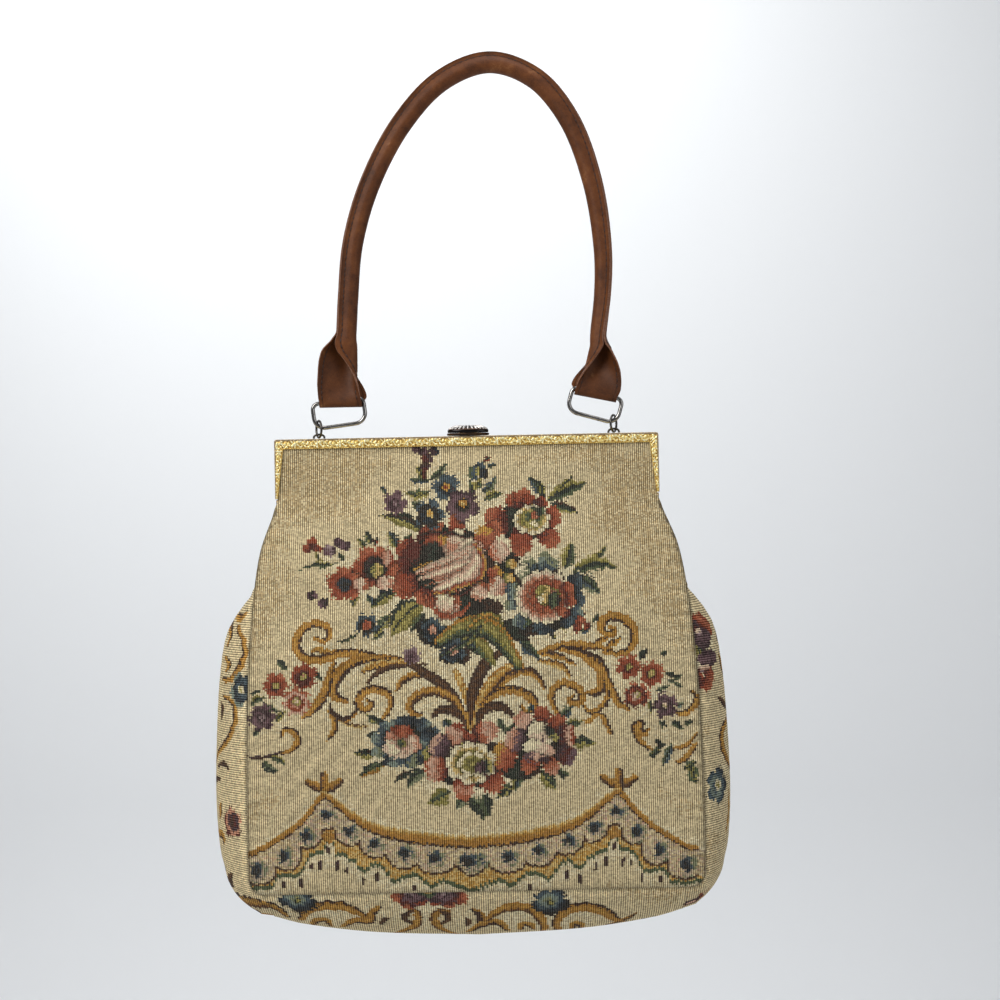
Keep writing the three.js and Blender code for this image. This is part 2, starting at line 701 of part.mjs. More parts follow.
function gussetGrid() {
  const grid = panelGrid(-1);
  const places = border(grid);
  const seam = places.map(([r, c]) => grid.points[r][c]);
  const last = grid.rows.length - 1;
  const points = seam.map((point, i) => {
    const way = seam[Math.min(i + 1, seam.length - 1)].clone().sub(seam[Math.max(i - 1, 0)]);
    const outward = new THREE.Vector3(way.z, 0, -way.x).normalize();
    const [r, c] = places[i];
    const low = r === last && c > 0 && c < COLUMNS;
    const lean = leanAt(-point.z) * Math.sign(point.x);
    const swell = low ? bottomSwell(Math.abs(point.x)) : sideSwell(-point.z) - lean;
    return Array.from({ length: GUSSET_STEPS + 1 }, (_, k) => {
      const w = (2 * k) / GUSSET_STEPS - 1;
      const out = swell * (1 - Math.abs(w) ** 2.2);
      const place = new THREE.Vector3(point.x, -point.y * w, point.z);
      return place.addScaledVector(outward, out);
    });
  });
  const normals = points.map((line, i) =>
    line.map((_, k) => {
      const along = points[Math.min(i + 1, points.length - 1)][k].clone().sub(points[Math.max(i - 1, 0)][k]);
      const over = line[Math.min(k + 1, GUSSET_STEPS)].clone().sub(line[Math.max(k - 1, 0)]);
      return along.cross(over).normalize();
    }),
  );
  return { places, points, normals };
}

// shared way of the mitred edge between panel and gusset
function mitre(panelNormal, gussetNormal) {
  return panelNormal.clone().add(gussetNormal).normalize();
}

function thick(mitreWay, normal) {
  return CLOTH / clamp(mitreWay.dot(normal), 0.62, 1);
}

function clothPanel(side) {
  const grid = panelGrid(side);
  const gusset = gussetGrid();
  const outer = grid.points.map((line) => line.map((point) => point.clone()));
  const inner = outer.map((line, r) =>
    line.map((point, c) => point.clone().addScaledVector(grid.normals[r][c], CLOTH)),
  );
  gusset.places.forEach(([r, c], i) => {
    const end = side < 0 ? 0 : GUSSET_STEPS;
    const way = mitre(grid.normals[r][c], gusset.normals[i][end]);
    const inwards = c === 0 ? 1 : c === COLUMNS ? -1 : 0;
    const upwards = r === grid.rows.length - 1 ? 1 : 0;
    const towards = new THREE.Vector3(inwards, 0, upwards).normalize();
    outer[r][c].addScaledVector(towards, SEAM_GAP);
    inner[r][c].copy(outer[r][c]).addScaledVector(way, thick(way, grid.normals[r][c]));
  });
  return wall(outer, inner);
}

function gussetWall() {
  const front = panelGrid(-1);
  const back = panelGrid(1);
  const { places, points, normals } = gussetGrid();
  const outer = points.map((line) => line.map((point) => point.clone()));
  const inner = outer.map((line, i) =>
    line.map((point, k) => point.clone().addScaledVector(normals[i][k], CLOTH)),
  );
  places.forEach(([r, c], i) => {
    for (const [k, next, grid] of [[0, 1, front], [GUSSET_STEPS, GUSSET_STEPS - 1, back]]) {
      const way = mitre(grid.normals[r][c], normals[i][k]);
      const towards = points[i][next].clone().sub(points[i][k]).normalize();
      outer[i][k].addScaledVector(towards, SEAM_GAP);
      inner[i][k].copy(outer[i][k]).addScaledVector(way, thick(way, normals[i][k]));
    }
  });
  return wall(outer, inner);
}

const bag = new THREE.Group();
bag.position.set(-HANG.x, -HANDLE_Y, -HANG.z);

function piece(name, geometry, material) {
  const mesh = new THREE.Mesh(geometry, material);
  mesh.name = name;
  bag.add(mesh);
}

piece('front_panel', clothPanel(-1), tapestry);
piece('back_panel', clothPanel(1), tapestry);
piece('gusset', gussetWall(), tapestry);
piece('frame_front', frameFront(), gilt);
piece('frame_back', frameBack(), gilt);
piece('clasp_lever', claspLever(), gilt);
piece('clasp_dome', claspDome(), nickel);
piece('handle', handle(), leather);
for (const side of SIDES) {
  piece(`hinge_${side.name}`, hinge(side.sign), gilt);
  piece(`handle_eye_${side.name}`, handleEye(side.sign), nickel);
  piece(`jump_ring_${side.name}`, jumpRing(side.sign), nickel);
  piece(`handle_ring_${side.name}`, handleRing(side), nickel);
}

const part = new THREE.Group();
part.add(bag);

export default part;
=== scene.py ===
import math

import bmesh
import bpy
import numpy as np
from mathutils import Matrix, Vector


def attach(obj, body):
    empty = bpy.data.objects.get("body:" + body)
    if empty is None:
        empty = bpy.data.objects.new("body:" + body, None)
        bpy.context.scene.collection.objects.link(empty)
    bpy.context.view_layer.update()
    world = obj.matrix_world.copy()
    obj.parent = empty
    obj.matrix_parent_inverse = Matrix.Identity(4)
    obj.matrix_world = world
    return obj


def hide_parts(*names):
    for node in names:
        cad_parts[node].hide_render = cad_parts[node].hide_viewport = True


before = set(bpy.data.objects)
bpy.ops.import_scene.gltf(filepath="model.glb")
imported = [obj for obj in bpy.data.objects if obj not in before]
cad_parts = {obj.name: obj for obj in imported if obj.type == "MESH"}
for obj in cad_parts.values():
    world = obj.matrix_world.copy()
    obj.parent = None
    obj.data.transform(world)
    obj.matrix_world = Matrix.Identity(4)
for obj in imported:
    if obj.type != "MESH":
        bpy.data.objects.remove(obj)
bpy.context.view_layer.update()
mm = 0.001
weld = 2e-6  # vertices closer than this, in metres, become one
farOff = 99  # a distance that counts as clear of every seam
bagSpot = np.array((-17.4, -2.4, -205.2))  # middle of the gilt frame's top edge, from the hanging point
print("frame loaded:", len(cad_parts), "nodes")


# tables, curves and blends

def table(names, *lines):
    keys = names.split()
    return [dict(zip(keys, line)) for line in lines]


def strokes(*lines):  # each is a width, its threads, and the places that it runs through
    return [dict(wide=wide, names=names, points=points) for wide, names, *points in lines]


def column(rows, name):
    return np.array([row[name] for row in rows], float)


def reading(rows, by, name):  # a smooth curve through one column of a table
    at, value = column(rows, by), column(rows, name)
    order = np.arange(len(at))
    before, after = np.maximum(order - 1, 0), np.minimum(order + 1, len(at) - 1)
    slope = (value[after] - value[before]) / (at[after] - at[before])

    def read(x):
        x = np.clip(x, at[0], at[-1])
        i = np.clip(np.searchsorted(at, x) - 1, 0, len(at) - 2)
        span = at[i + 1] - at[i]
        s = (x - at[i]) / span
        rise = value[i + 1] - value[i]
        start, end = slope[i] * span, slope[i + 1] * span
        return value[i] + s * (start + s * ((start + end - 2 * rise) * s + 3 * rise - 2 * start - end))

    return read


def mix(a, b, share):
    return a + (b - a) * share


def smooth(x, low, high):
    t = np.clip((x - low) / (high - low), 0, 1)
    return t * t * (3 - 2 * t)


def unit(vectors):
    return vectors / np.maximum(np.linalg.norm(vectors, axis=-1, keepdims=True), 1e-9)


def rotated(x, y, degrees):  # a place as read on axes that are turned by some degrees
    c, s = math.cos(math.radians(degrees)), math.sin(math.radians(degrees))
    return x * c + y * s, y * c - x * s


def curveThrough(points, steps=16):  # centripetal curve through a few points, finely sampled
    p = np.array(points, float)
    p = np.concatenate([[2 * p[0] - p[1]], p, [2 * p[-1] - p[-2]]])
    made = []
    for a, b, c, d in zip(p[:-3], p[1:-2], p[2:-1], p[3:]):
        ab, bc, cd = (max(np.linalg.norm(n - m), 1e-6) ** 0.5 for m, n in ((a, b), (b, c), (c, d)))
        start = ((b - a) / ab - (c - a) / (ab + bc) + (c - b) / bc) * bc
        end = ((c - b) / bc - (d - b) / (bc + cd) + (d - c) / cd) * bc
        s = np.linspace(0, 1, steps, endpoint=False)[:, None]
        made.append(b + s * (start + s * ((start + end - 2 * (c - b)) * s + 3 * (c - b) - 2 * start - end)))
    return np.concatenate(made + [p[-2:-1]])


def lengthAlong(line):
    return np.concatenate([[0], np.cumsum(np.linalg.norm(np.diff(line, axis=0), axis=1))])


def readRows(at, marks, rows):  # rows that stand at some marks, read at other places
    return np.stack([np.interp(at, marks, rows[:, k]) for k in range(rows.shape[1])], axis=-1)


def placedAlong(line, at):  # points of a line at given lengths
    return readRows(at, lengthAlong(line), line)


def fullTurn(count):
    return np.linspace(0, 2 * math.pi, count, endpoint=False)


def cellMiddles(points):
    return (points[:-1, :-1] + points[1:, :-1] + points[:-1, 1:] + points[1:, 1:]) / 4


# meshes

def openMesh(mesh):
    bm = bmesh.new()
    bm.from_mesh(mesh)
    return bm


def closeMesh(bm, mesh, sharp=None):
    bm.to_mesh(mesh)
    bm.free()
    mesh.shade_smooth()
    if sharp:
        mesh.set_sharp_from_angle(angle=math.radians(sharp))


def peg(bm, place, radius, long, sides, tip=1.0, ends=True):  # a round pin in millimetres
    bmesh.ops.create_cone(bm, cap_ends=ends, segments=sides, radius1=radius * mm, radius2=radius * mm * tip,
                          depth=long * mm, matrix=place)


def loft(name, points, closed=False):  # cells through rows of points, in the bag's own millimetres
    if closed:
        points = np.concatenate([points, points[:, :1]], axis=1)
    rows, columns = points.shape[0] - 1, points.shape[1] - 1
    bm = bmesh.new()
    bmesh.ops.create_grid(bm, x_segments=columns, y_segments=rows, size=0.5)
    mesh = bpy.data.meshes.new(name)
    bm.to_mesh(mesh)
    bm.free()
    mesh.vertices.foreach_set("co", ((points + bagSpot) * mm).astype(np.float32).ravel())
    return mesh


def layUv(mesh, name, across, along, other=None, pick=False):  # pick says which cells take the other across
    corners = np.empty(len(mesh.loops), np.int32)
    mesh.loops.foreach_get("vertex_index", corners)
    first = across.ravel()[corners]
    second = first if other is None else other.ravel()[corners]
    uv = np.stack([np.where(pick, second, first), along.ravel()[corners]], axis=1)
    mesh.uv_layers.new(name=name).data.foreach_set("uv", uv.astype(np.float32).ravel())


def layColour(mesh, name, colours):  # one colour for each cell
    rgba = np.concatenate([colours, np.ones(colours.shape[:-1] + (1,))], axis=-1)
    layer = mesh.attributes.new(name, "FLOAT_COLOR", "FACE")
    layer.data.foreach_set("color", rgba.astype(np.float32).ravel())


def layValue(mesh, name, values):  # one number for each vertex
    layer = mesh.attributes.new(name, "FLOAT", "POINT")
    layer.data.foreach_set("value", values.astype(np.float32).ravel())


def tidyMesh(mesh, caps=False, sharp=None, lining=None):  # a lining is joined to the edge of the cloth
    bm = openMesh(mesh)
    if lining is not None:
        rows, columns = lining.shape[0] - 1, lining.shape[1] - 1
        made = bmesh.ops.create_grid(bm, x_segments=columns, y_segments=rows, size=0.5)["verts"]
        for vertex, place in zip(made, ((lining + bagSpot) * mm).reshape(-1, 3)):
            vertex.co = place
    bmesh.ops.remove_doubles(bm, verts=bm.verts, dist=weld)
    edges = [edge for edge in bm.edges if edge.is_boundary]
    if lining is not None:
        bmesh.ops.bridge_loops(bm, edges=edges)
    if caps:
        bmesh.ops.holes_fill(bm, edges=edges, sides=0)
    bmesh.ops.recalc_face_normals(bm, faces=bm.faces)
    closeMesh(bm, mesh, sharp)


def addObject(name, data):
    thing = bpy.data.objects.new(name, data)
    bpy.context.scene.collection.objects.link(thing)
    return thing


def piece(mesh, finishes, slot, *nodes, body="bag"):
    thing = addObject(mesh.name, mesh)
    for finish in finishes:
        mesh.materials.append(finish)
    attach(thing, body)
    if nodes:
        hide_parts(*nodes)
    return thing


def tube(name, line, radius, sides, over, closed=False, sharp=50):  # round wire; over is across its plane
    ahead = np.roll(line, -1, 0) - np.roll(line, 1, 0)
    if not closed:
        ahead[0], ahead[-1] = line[1] - line[0], line[-1] - line[-2]
    side = unit(np.cross(over, unit(ahead)))
    turn = fullTurn(sides)
    ring = side[:, None] * np.cos(turn)[:, None] + np.array(over) * np.sin(turn)[:, None]
    points = line[:, None] + radius * ring
    if closed:
        points = np.concatenate([points, points[:1]])
    mesh = loft(name, points, closed=True)
    tidyMesh(mesh, caps=not closed, sharp=sharp)
    return mesh


# shader wiring

class Wire:  # an output socket; arithmetic on it adds Math nodes
    def __init__(self, finish, socket):
        self.finish, self.socket = finish, socket

    def maths(self, operation, *inputs):
        return self.finish.node("ShaderNodeMath", {"operation": operation}, dict(enumerate(inputs)))

    def __add__(self, other):
        return self.maths("ADD", self, other)

    def __sub__(self, other):
        return self.maths("SUBTRACT", self, other)

    def __rsub__(self, other):
        return self.maths("SUBTRACT", other, self)

    def __mul__(self, other):
        return self.maths("MULTIPLY", self, other)

    def __pow__(self, other):
        return self.maths("POWER", self, other)

    def __abs__(self):
        return self.maths("ABSOLUTE", self)

    def fraction(self):
        return self.maths("FRACT", self)

    def within(self, low, high):  # 0 at low to 1 at high, eased
        settings = {"interpolation_type": "SMOOTHSTEP"}
        return self.finish.node("ShaderNodeMapRange", settings, {0: self, 1: low, 2: high})

    __radd__ = __add__


class Nodes:  # a node tree
    def __init__(self, tree):
        self.tree = tree

    def node(self, kind, settings=None, inputs=None, out=0):
        made = self.tree.nodes.new(kind)
        for key, value in (settings or {}).items():
            if key == "stops":
                ramp = made.color_ramp
                while len(ramp.elements) < len(value):
                    ramp.elements.new(1)
                for element, (at, colour) in zip(ramp.elements, value):
                    element.position, element.color = at, (*colour, 1)
            else:
                setattr(made, key, value)
        for key, value in (inputs or {}).items():
            if isinstance(value, Wire):
                self.tree.links.new(value.socket, made.inputs[key])
            else:
                made.inputs[key].default_value = value
        return Wire(self, made.outputs[out])


class Finish(Nodes):  # a material and its nodes
    def __init__(self, name, **fixed):
        self.material = bpy.data.materials.new(name)
        self.material.use_nodes = True
        super().__init__(self.material.node_tree)
        self.shader = self.tree.nodes["Principled BSDF"]
        for socket, value in fixed.items():
            self.shader.inputs[socket.replace("_", " ")].default_value = value

    def place(self):
        return self.node("ShaderNodeTexCoord", out="Object")

    def uv(self, name):
        both = self.node("ShaderNodeUVMap", {"uv_map": name})
        return [self.node("ShaderNodeSeparateXYZ", None, {0: both}, out=k) for k in (0, 1)]

    def attribute(self, name, out="Color"):
        return self.node("ShaderNodeAttribute", {"attribute_name": name}, out=out)

    def noise(self, scale, detail=3, rough=0.55):
        inputs = {"Vector": self.place(), "Scale": scale, "Detail": detail, "Roughness": rough}
        return self.node("ShaderNodeTexNoise", None, inputs)

    def ramp(self, factor, stops):  # stops are places along the ramp with colours as read off a screen
        stops = [(at, linear(colour)) for at, colour in stops]
        return self.node("ShaderNodeValToRGB", {"stops": stops}, {0: factor})

    def tint(self, factor, first, second, how="MIX"):
        settings = {"data_type": "RGBA", "blend_type": how}
        first, second = (c if isinstance(c, Wire) else (*c, 1) for c in (first, second))
        return self.node("ShaderNodeMix", settings, {0: factor, 6: first, 7: second}, out=2)

    def feed(self, socket, wire):
        self.tree.links.new(wire.socket, self.shader.inputs[socket])

    def bump(self, height, depth, strength=1.0):
        inputs = {"Height": height, "Distance": depth, "Strength": strength}
        self.feed("Normal", self.node("ShaderNodeBump", None, inputs))


def linear(colour):  # a colour as read off a screen, 0 to 255, as Blender's own values
    c = np.array(colour, float) / 255
    return np.where(c <= 0.04045, c / 12.92, ((c + 0.055) / 1.055) ** 2.4)


# camera: level and straight on, turned a little about its own axis as the photo is

view = dict(
    size=1000, sensor=36, distance=900, mmPerPixel=216 / 382.6, roll=1.153, axisX=18.27, axisZ=-36.42,
    clipStart=0.02,
)


def toPhoto(points):  # bag millimetres to photo pixels
    near = view["distance"] / (view["distance"] + points[..., 1]) / view["mmPerPixel"]
    across = (points[..., 0] - view["axisX"]) * near
    up = (points[..., 2] - view["axisZ"]) * near
    roll, half = math.radians(view["roll"]), view["size"] / 2
    px = half + across * math.cos(roll) - up * math.sin(roll)
    py = half - across * math.sin(roll) - up * math.cos(roll)
    return px, py


def makeCamera():
    data = bpy.data.cameras.new("camera")
    data.sensor_width = view["sensor"]
    data.lens = view["sensor"] * view["distance"] / (view["mmPerPixel"] * view["size"])
    data.clip_start = view["clipStart"]
    camera = addObject("camera", data)
    spot = Vector((bagSpot + (view["axisX"], -view["distance"], view["axisZ"])) * mm)
    turn = Matrix.Rotation(math.radians(90), 4, "X") @ Matrix.Rotation(-math.radians(view["roll"]), 4, "Z")
    camera.matrix_world = Matrix.Translation(spot) @ turn
    bpy.context.scene.camera = camera


makeCamera()
print("camera placed")

# stage: a pale sweep well behind and below the hanging bag, and soft lamps

stage = dict(
    floor=-1.4, back=2.1, front=-3.2, half=4.5, high=5, bend=0.6, bendSteps=14,
    colour=(0.80, 0.81, 0.82), grain=(0.7, 0.71, 0.72), grainShare=0.06,
)
lamps = table(
    "name place aim size watts colour",
    ("key", (-1.15, -1.35, 0.75), (0, 0, -0.33), 1.1, 24, (1.0, 0.985, 0.96)),
    ("fill", (1.5, -1.5, 0.1), (0, 0, -0.33), 1.4, 7, (0.97, 0.985, 1.0)),
    ("over", (0.1, -0.35, 1.5), (0, 0, -0.33), 1.2, 12, (1.0, 1.0, 1.0)),
    ("behind", (-0.3, 1.2, 0.9), (0, 2.1, -0.2), 1.8, 20, (0.97, 0.985, 1.0)),
)
# the room is darker in front than above and behind
room = dict(colour=(0.93, 0.96, 1.0), dark=0.1, light=0.5, up=(0, 0.7, 0.7))


def makeStage():
    floor, back, bend, half = stage["floor"], stage["back"], stage["bend"], stage["half"]
    turn = np.linspace(0, math.pi / 2, stage["bendSteps"])
    profile = [(stage["front"], floor)]
    profile += [(back - bend + bend * math.sin(a), floor + bend - bend * math.cos(a)) for a in turn]
    profile += [(back, floor + stage["high"])]
    bm = bmesh.new()
    left = [bm.verts.new((-half, y, z)) for y, z in profile]
    edges = [bm.edges.new(pair) for pair in zip(left, left[1:])]
    swept = bmesh.ops.extrude_edge_only(bm, edges=edges)["geom"]
    moved = [v for v in swept if isinstance(v, bmesh.types.BMVert)]
    bmesh.ops.translate(bm, verts=moved, vec=(2 * half, 0, 0))
    mesh = bpy.data.meshes.new("sweep")
    closeMesh(bm, mesh)
    paper = Finish("pale paper", Roughness=0.9)
    grain = paper.noise(40, 2)
    paper.feed("Base Color", paper.tint(grain * stage["grainShare"], stage["colour"], stage["grain"]))
    mesh.materials.append(paper.material)
    addObject("sweep", mesh)


def makeLamps():
    for lamp in lamps:
        data = bpy.data.lights.new(lamp["name"], "AREA")
        data.shape = "DISK"
        data.size, data.energy, data.color = lamp["size"], lamp["watts"], lamp["colour"]
        thing = addObject(lamp["name"], data)
        thing.location = lamp["place"]
        thing.rotation_euler = (Vector(lamp["aim"]) - thing.location).to_track_quat("-Z", "Y").to_euler()
    world = bpy.data.worlds.new("room")
    world.use_nodes = True
    air = Nodes(world.node_tree)
    way = {0: air.node("ShaderNodeTexCoord", out="Generated"), 1: room["up"]}
    towards = air.node("ShaderNodeVectorMath", {"operation": "DOT_PRODUCT"}, way, out="Value")
    levels = {"Value": towards, "From Min": -1, "To Min": room["dark"], "To Max": room["light"]}
    light = air.tree.nodes["Background"].inputs
    light["Color"].default_value = (*room["colour"], 1)
    air.tree.links.new(air.node("ShaderNodeMapRange", None, levels).socket, light["Strength"])
    bpy.context.scene.world = world


makeStage()
makeLamps()
bpy.context.scene.view_settings.view_transform = "Standard"
print("stage and lamps placed")

# cloth panels

panel = dict(
    cut=(0.256, 0.266), cutArea=0.0615, rib=1.18, row=0.78, cloth=1.8, lining=(46, 35), fineSteps=1200,
    seed=7, comb=1.1, top=2, bottom=249, middle=(0, 0, -130.0), corner=9, cornerDrop=240, crown=2.2,
    sewnFrom=38, sewnOver=8,
    legTop=5, legTip=1.5, legFrom=5.6, legTo=33.5, legRoom=1,
    sink=1.3, sinkWidth=4.5, sinkInset=0.35, sinkMost=9, shade=0.6, lowShade=0.36, shadeReach=1.6,
    pucker=0.6, puckerPitch=7.4, puckerReach=12, puckerFrom=2.5, puckerWander=1.7, wanderPitch=17.0,
    slack=0.5, slackPitch=(13.0, 21.0, 16.0, 37.0), looseSide=0.25, looseTop=(8, 22), looseBottom=(215, 249),
    sections=table(
        "drop half side mid lean",
        (2, 106, 3.3, 3.3, 0),
        (7.6, 106.2, 3.3, 3.4, 0),
        (15, 106.4, 3.3, 8, 0),
        (24, 106.6, 3.3, 12, 0),
        (33.5, 106.7, 3.4, 16, 0),
        (40, 108.8, 4.8, 18.5, 0),
        (50, 112.8, 7.6, 22, 0.2),
        (62, 116.8, 12, 25.5, 0.5),
        (78, 119.4, 17.8, 29.5, 0.8),
        (98, 121.2, 24, 33.5, 1.1),
        (125, 123, 29.5, 37.5, 1.4),
        (160, 124.2, 33.2, 40.5, 1.6),
        (200, 124.8, 35.6, 41.5, 1.8),
        (232, 124.6, 36.2, 40, 1.9),
        (249, 124.2, 35.6, 36.6, 1.9),
    ),
    folds=table(
        "x drop turn length width height",
        (-92, 122, -38, 70, 13, 2.2),
        (-98, 160, -24, 60, 12, 1.6),
        (96, 108, 40, 74, 13, 2.2),
        (100, 150, 28, 60, 12, 1.6),
        (0, 34, 0, 150, 14, -1.4),
        (-70, 52, -36, 60, 7, 0.7),
        (-84, 88, -40, 46, 6, -0.7),
        (70, 60, 34, 60, 8, 0.6),
        (112, 103, 22, 30, 4, -1.3),
        (112, 97, 26, 26, 4, 1.0),
    ),
    ripples=table(
        "x drop turn pitch radius height",
        (-88, 190, 48, 10, 34, 0.5),
        (-84, 112, 70, 12, 34, 0.4),
        (90, 188, -46, 11, 30, 0.4),
        (98, 100, -62, 9, 20, 0.6),
        (-60, 36, 58, 14, 30, 0.35),
        (62, 40, -56, 14, 30, 0.35),
    ),
)

halfAt, sideAt, midAt, leanAt = (
    reading(panel["sections"], "drop", name) for name in ("half", "side", "mid", "lean"))


def panelHalf(drop):  # half width, with the round corners at the bottom
    over = np.clip((drop - panel["cornerDrop"]) / panel["corner"], 0, 1)
    return halfAt(drop) - panel["corner"] * (1 - np.sqrt(1 - over**2))


def foldHeight(x, drop):
    height = np.zeros(np.broadcast(x, drop).shape)
    for fold in panel["folds"]:
        along, across = rotated(x - fold["x"], drop - fold["drop"], fold["turn"])
        run = np.exp(-((along / (fold["length"] / 2)) ** 4))
        height += fold["height"] * run * np.exp(-((across / fold["width"]) ** 2))
    for patch in panel["ripples"]:
        dx, dy = x - patch["x"], drop - patch["drop"]
        across = rotated(dx, dy, patch["turn"])[0]
        fade = np.exp(-((np.hypot(dx, dy) / patch["radius"]) ** 2))
        height += patch["height"] * fade * np.sin(2 * math.pi * across / patch["pitch"])
    return height


def puckerFade(away):  # the gathers start just off a seam and die away from it
    return np.exp(-away / panel["puckerReach"]) * smooth(away, 0, panel["puckerFrom"])


def seamSink(away, along):  # how far the cloth dips into a seam, with its small gathers
    dip = panel["sink"] * np.clip(1 - away / panel["sinkWidth"], 0, 1) ** 2
    wander = panel["puckerWander"] * np.sin(along / panel["wanderPitch"])
    wave = np.sin(2 * math.pi * along / panel["puckerPitch"] + wander)
    return dip - panel["pucker"] * wave * puckerFade(away)


def seamShade(away, depth):  # painted shade: the cloth's colour is darkened where it turns into a seam
    return 1 - depth * np.exp(-((away / panel["shadeReach"]) ** 2))


def legWidth(drop):  # how much of the cloth's edge a leg of the gilt frame covers
    share = np.clip((drop - panel["legFrom"]) / (panel["legTo"] - panel["legFrom"]), 0, 1)
    return mix(panel["legTop"], panel["legTip"], share)


def panelSurface(x, drop, side):  # x is clamped to the panel's own width
    half = panelHalf(drop)
    x = np.clip(x, -half, half)
    held = np.where(drop < panel["legTo"], (legWidth(drop) + panel["legRoom"]) / half, 0)
    away = np.clip((1 - np.abs(x / half) - held) / (1 - held), 0, 1)
    crown = 1 - (1 - away) ** panel["crown"]
    loose = smooth(away, 0, panel["looseSide"]) * smooth(drop, *panel["looseTop"])
    loose = loose * (1 - smooth(drop, *panel["looseBottom"]))
    a, b, c, d = panel["slackPitch"]
    slack = panel["slack"] * np.sin(x / a + drop / b) * np.sin(drop / c - x / d)
    depth = mix(sideAt(drop), midAt(drop), crown) + loose * (foldHeight(x, drop) + slack)
    sewn = smooth(drop, panel["sewnFrom"], panel["sewnFrom"] + panel["sewnOver"])
    fromSide = np.where(sewn > 0, half - np.abs(x), farOff)
    fromBottom = panel["bottom"] - drop + 0 * x
    sideDip = sewn * seamSink(fromSide, drop + 0 * x)
    lowDip = seamSink(fromBottom, x + 0 * drop)
    dip = np.where(fromSide < fromBottom, sideDip, lowDip)
    inset = panel["sinkInset"] * np.clip(dip, 0, panel["sinkMost"])
    x = x + leanAt(drop) - np.where(fromSide < fromBottom, np.sign(x) * inset, 0)
    z = -drop + np.where(fromSide < fromBottom, 0, inset)
    return np.stack([x, side * (depth - dip), z], axis=-1)


def panelRows():  # drops one stitch apart along the middle of the cloth
    drop = np.linspace(panel["top"], panel["bottom"], panel["fineSteps"])
    length = lengthAlong(np.stack([drop, midAt(drop)], axis=1))
    return np.interp(np.linspace(0, length[-1], round(length[-1] / panel["row"]) + 1), length, drop)


def lined(face):  # the cloth's inner face, one thickness in from its outer one
    normal = unit(np.cross(np.gradient(face, axis=1), np.gradient(face, axis=0)))
    facing = np.sum(normal * (np.array(panel["middle"]) - face), axis=-1, keepdims=True)
    return face + panel["cloth"] * np.where(facing < 0, -normal, normal)


def reportCloth(cloth):
    area = sum(face.area for face in cloth.data.polygons) / 2
    print(cloth.name, "woven:", round(area, 5), "square metres")


# stitches: every cell of the cloth is one stitch, and motifs are laid over it in photo pixels

threads = dict(
    ground=(219, 200, 157), cream=(233, 219, 180), biscuit=(196, 172, 127), lace=(184, 164, 138),
    ink=(36, 32, 32), umber=(64, 42, 34), brown=(94, 62, 38),
    navy=(36, 46, 56), slate=(66, 82, 90), mist=(124, 136, 124),
    bottle=(38, 48, 42), fern=(80, 92, 64), sage=(126, 130, 100), olive=(124, 116, 56), lime=(164, 152, 84),
    plum=(66, 44, 52), mauve=(106, 78, 84), lilac=(150, 126, 126),
    wine=(90, 38, 34), rust=(144, 66, 42), coral=(170, 94, 64), salmon=(194, 136, 108),
    rose=(206, 164, 138), blush=(224, 196, 166),
    gold=(170, 120, 48), amber=(192, 144, 64), straw=(212, 180, 112),
)


weaving = dict(
    edge=0.5, halo=(9, 6), uneven=0.62, ragged=4, raggedMost=0.5, spread=1.1, lightFrom=60, strokeGrain=1.2,
    bloomShade=(0.66, 0.24, 0.14), petalRim=(0.25, 0.6), strokeEnds=(0.35, 0.65),
    bloomReach=1.3, lobePower=0.6, leafReach=0.6, leafPower=0.8,
    ground="biscuit ground ground cream", groundGrain=0.9, groundShade=(0.16, 0.14, 0.7),
    dark="ink bottle ink umber", vein="bottle", veinHalf=0.9, veinEnd=0.85, notch=0.2, notchPitch=7,
    shadow=(0.11, 0.08, 0.055), worn=(0.78, 0.70, 0.53),
)


def tones(names):
    return np.array([linear(threads[name]) for name in names.split()])


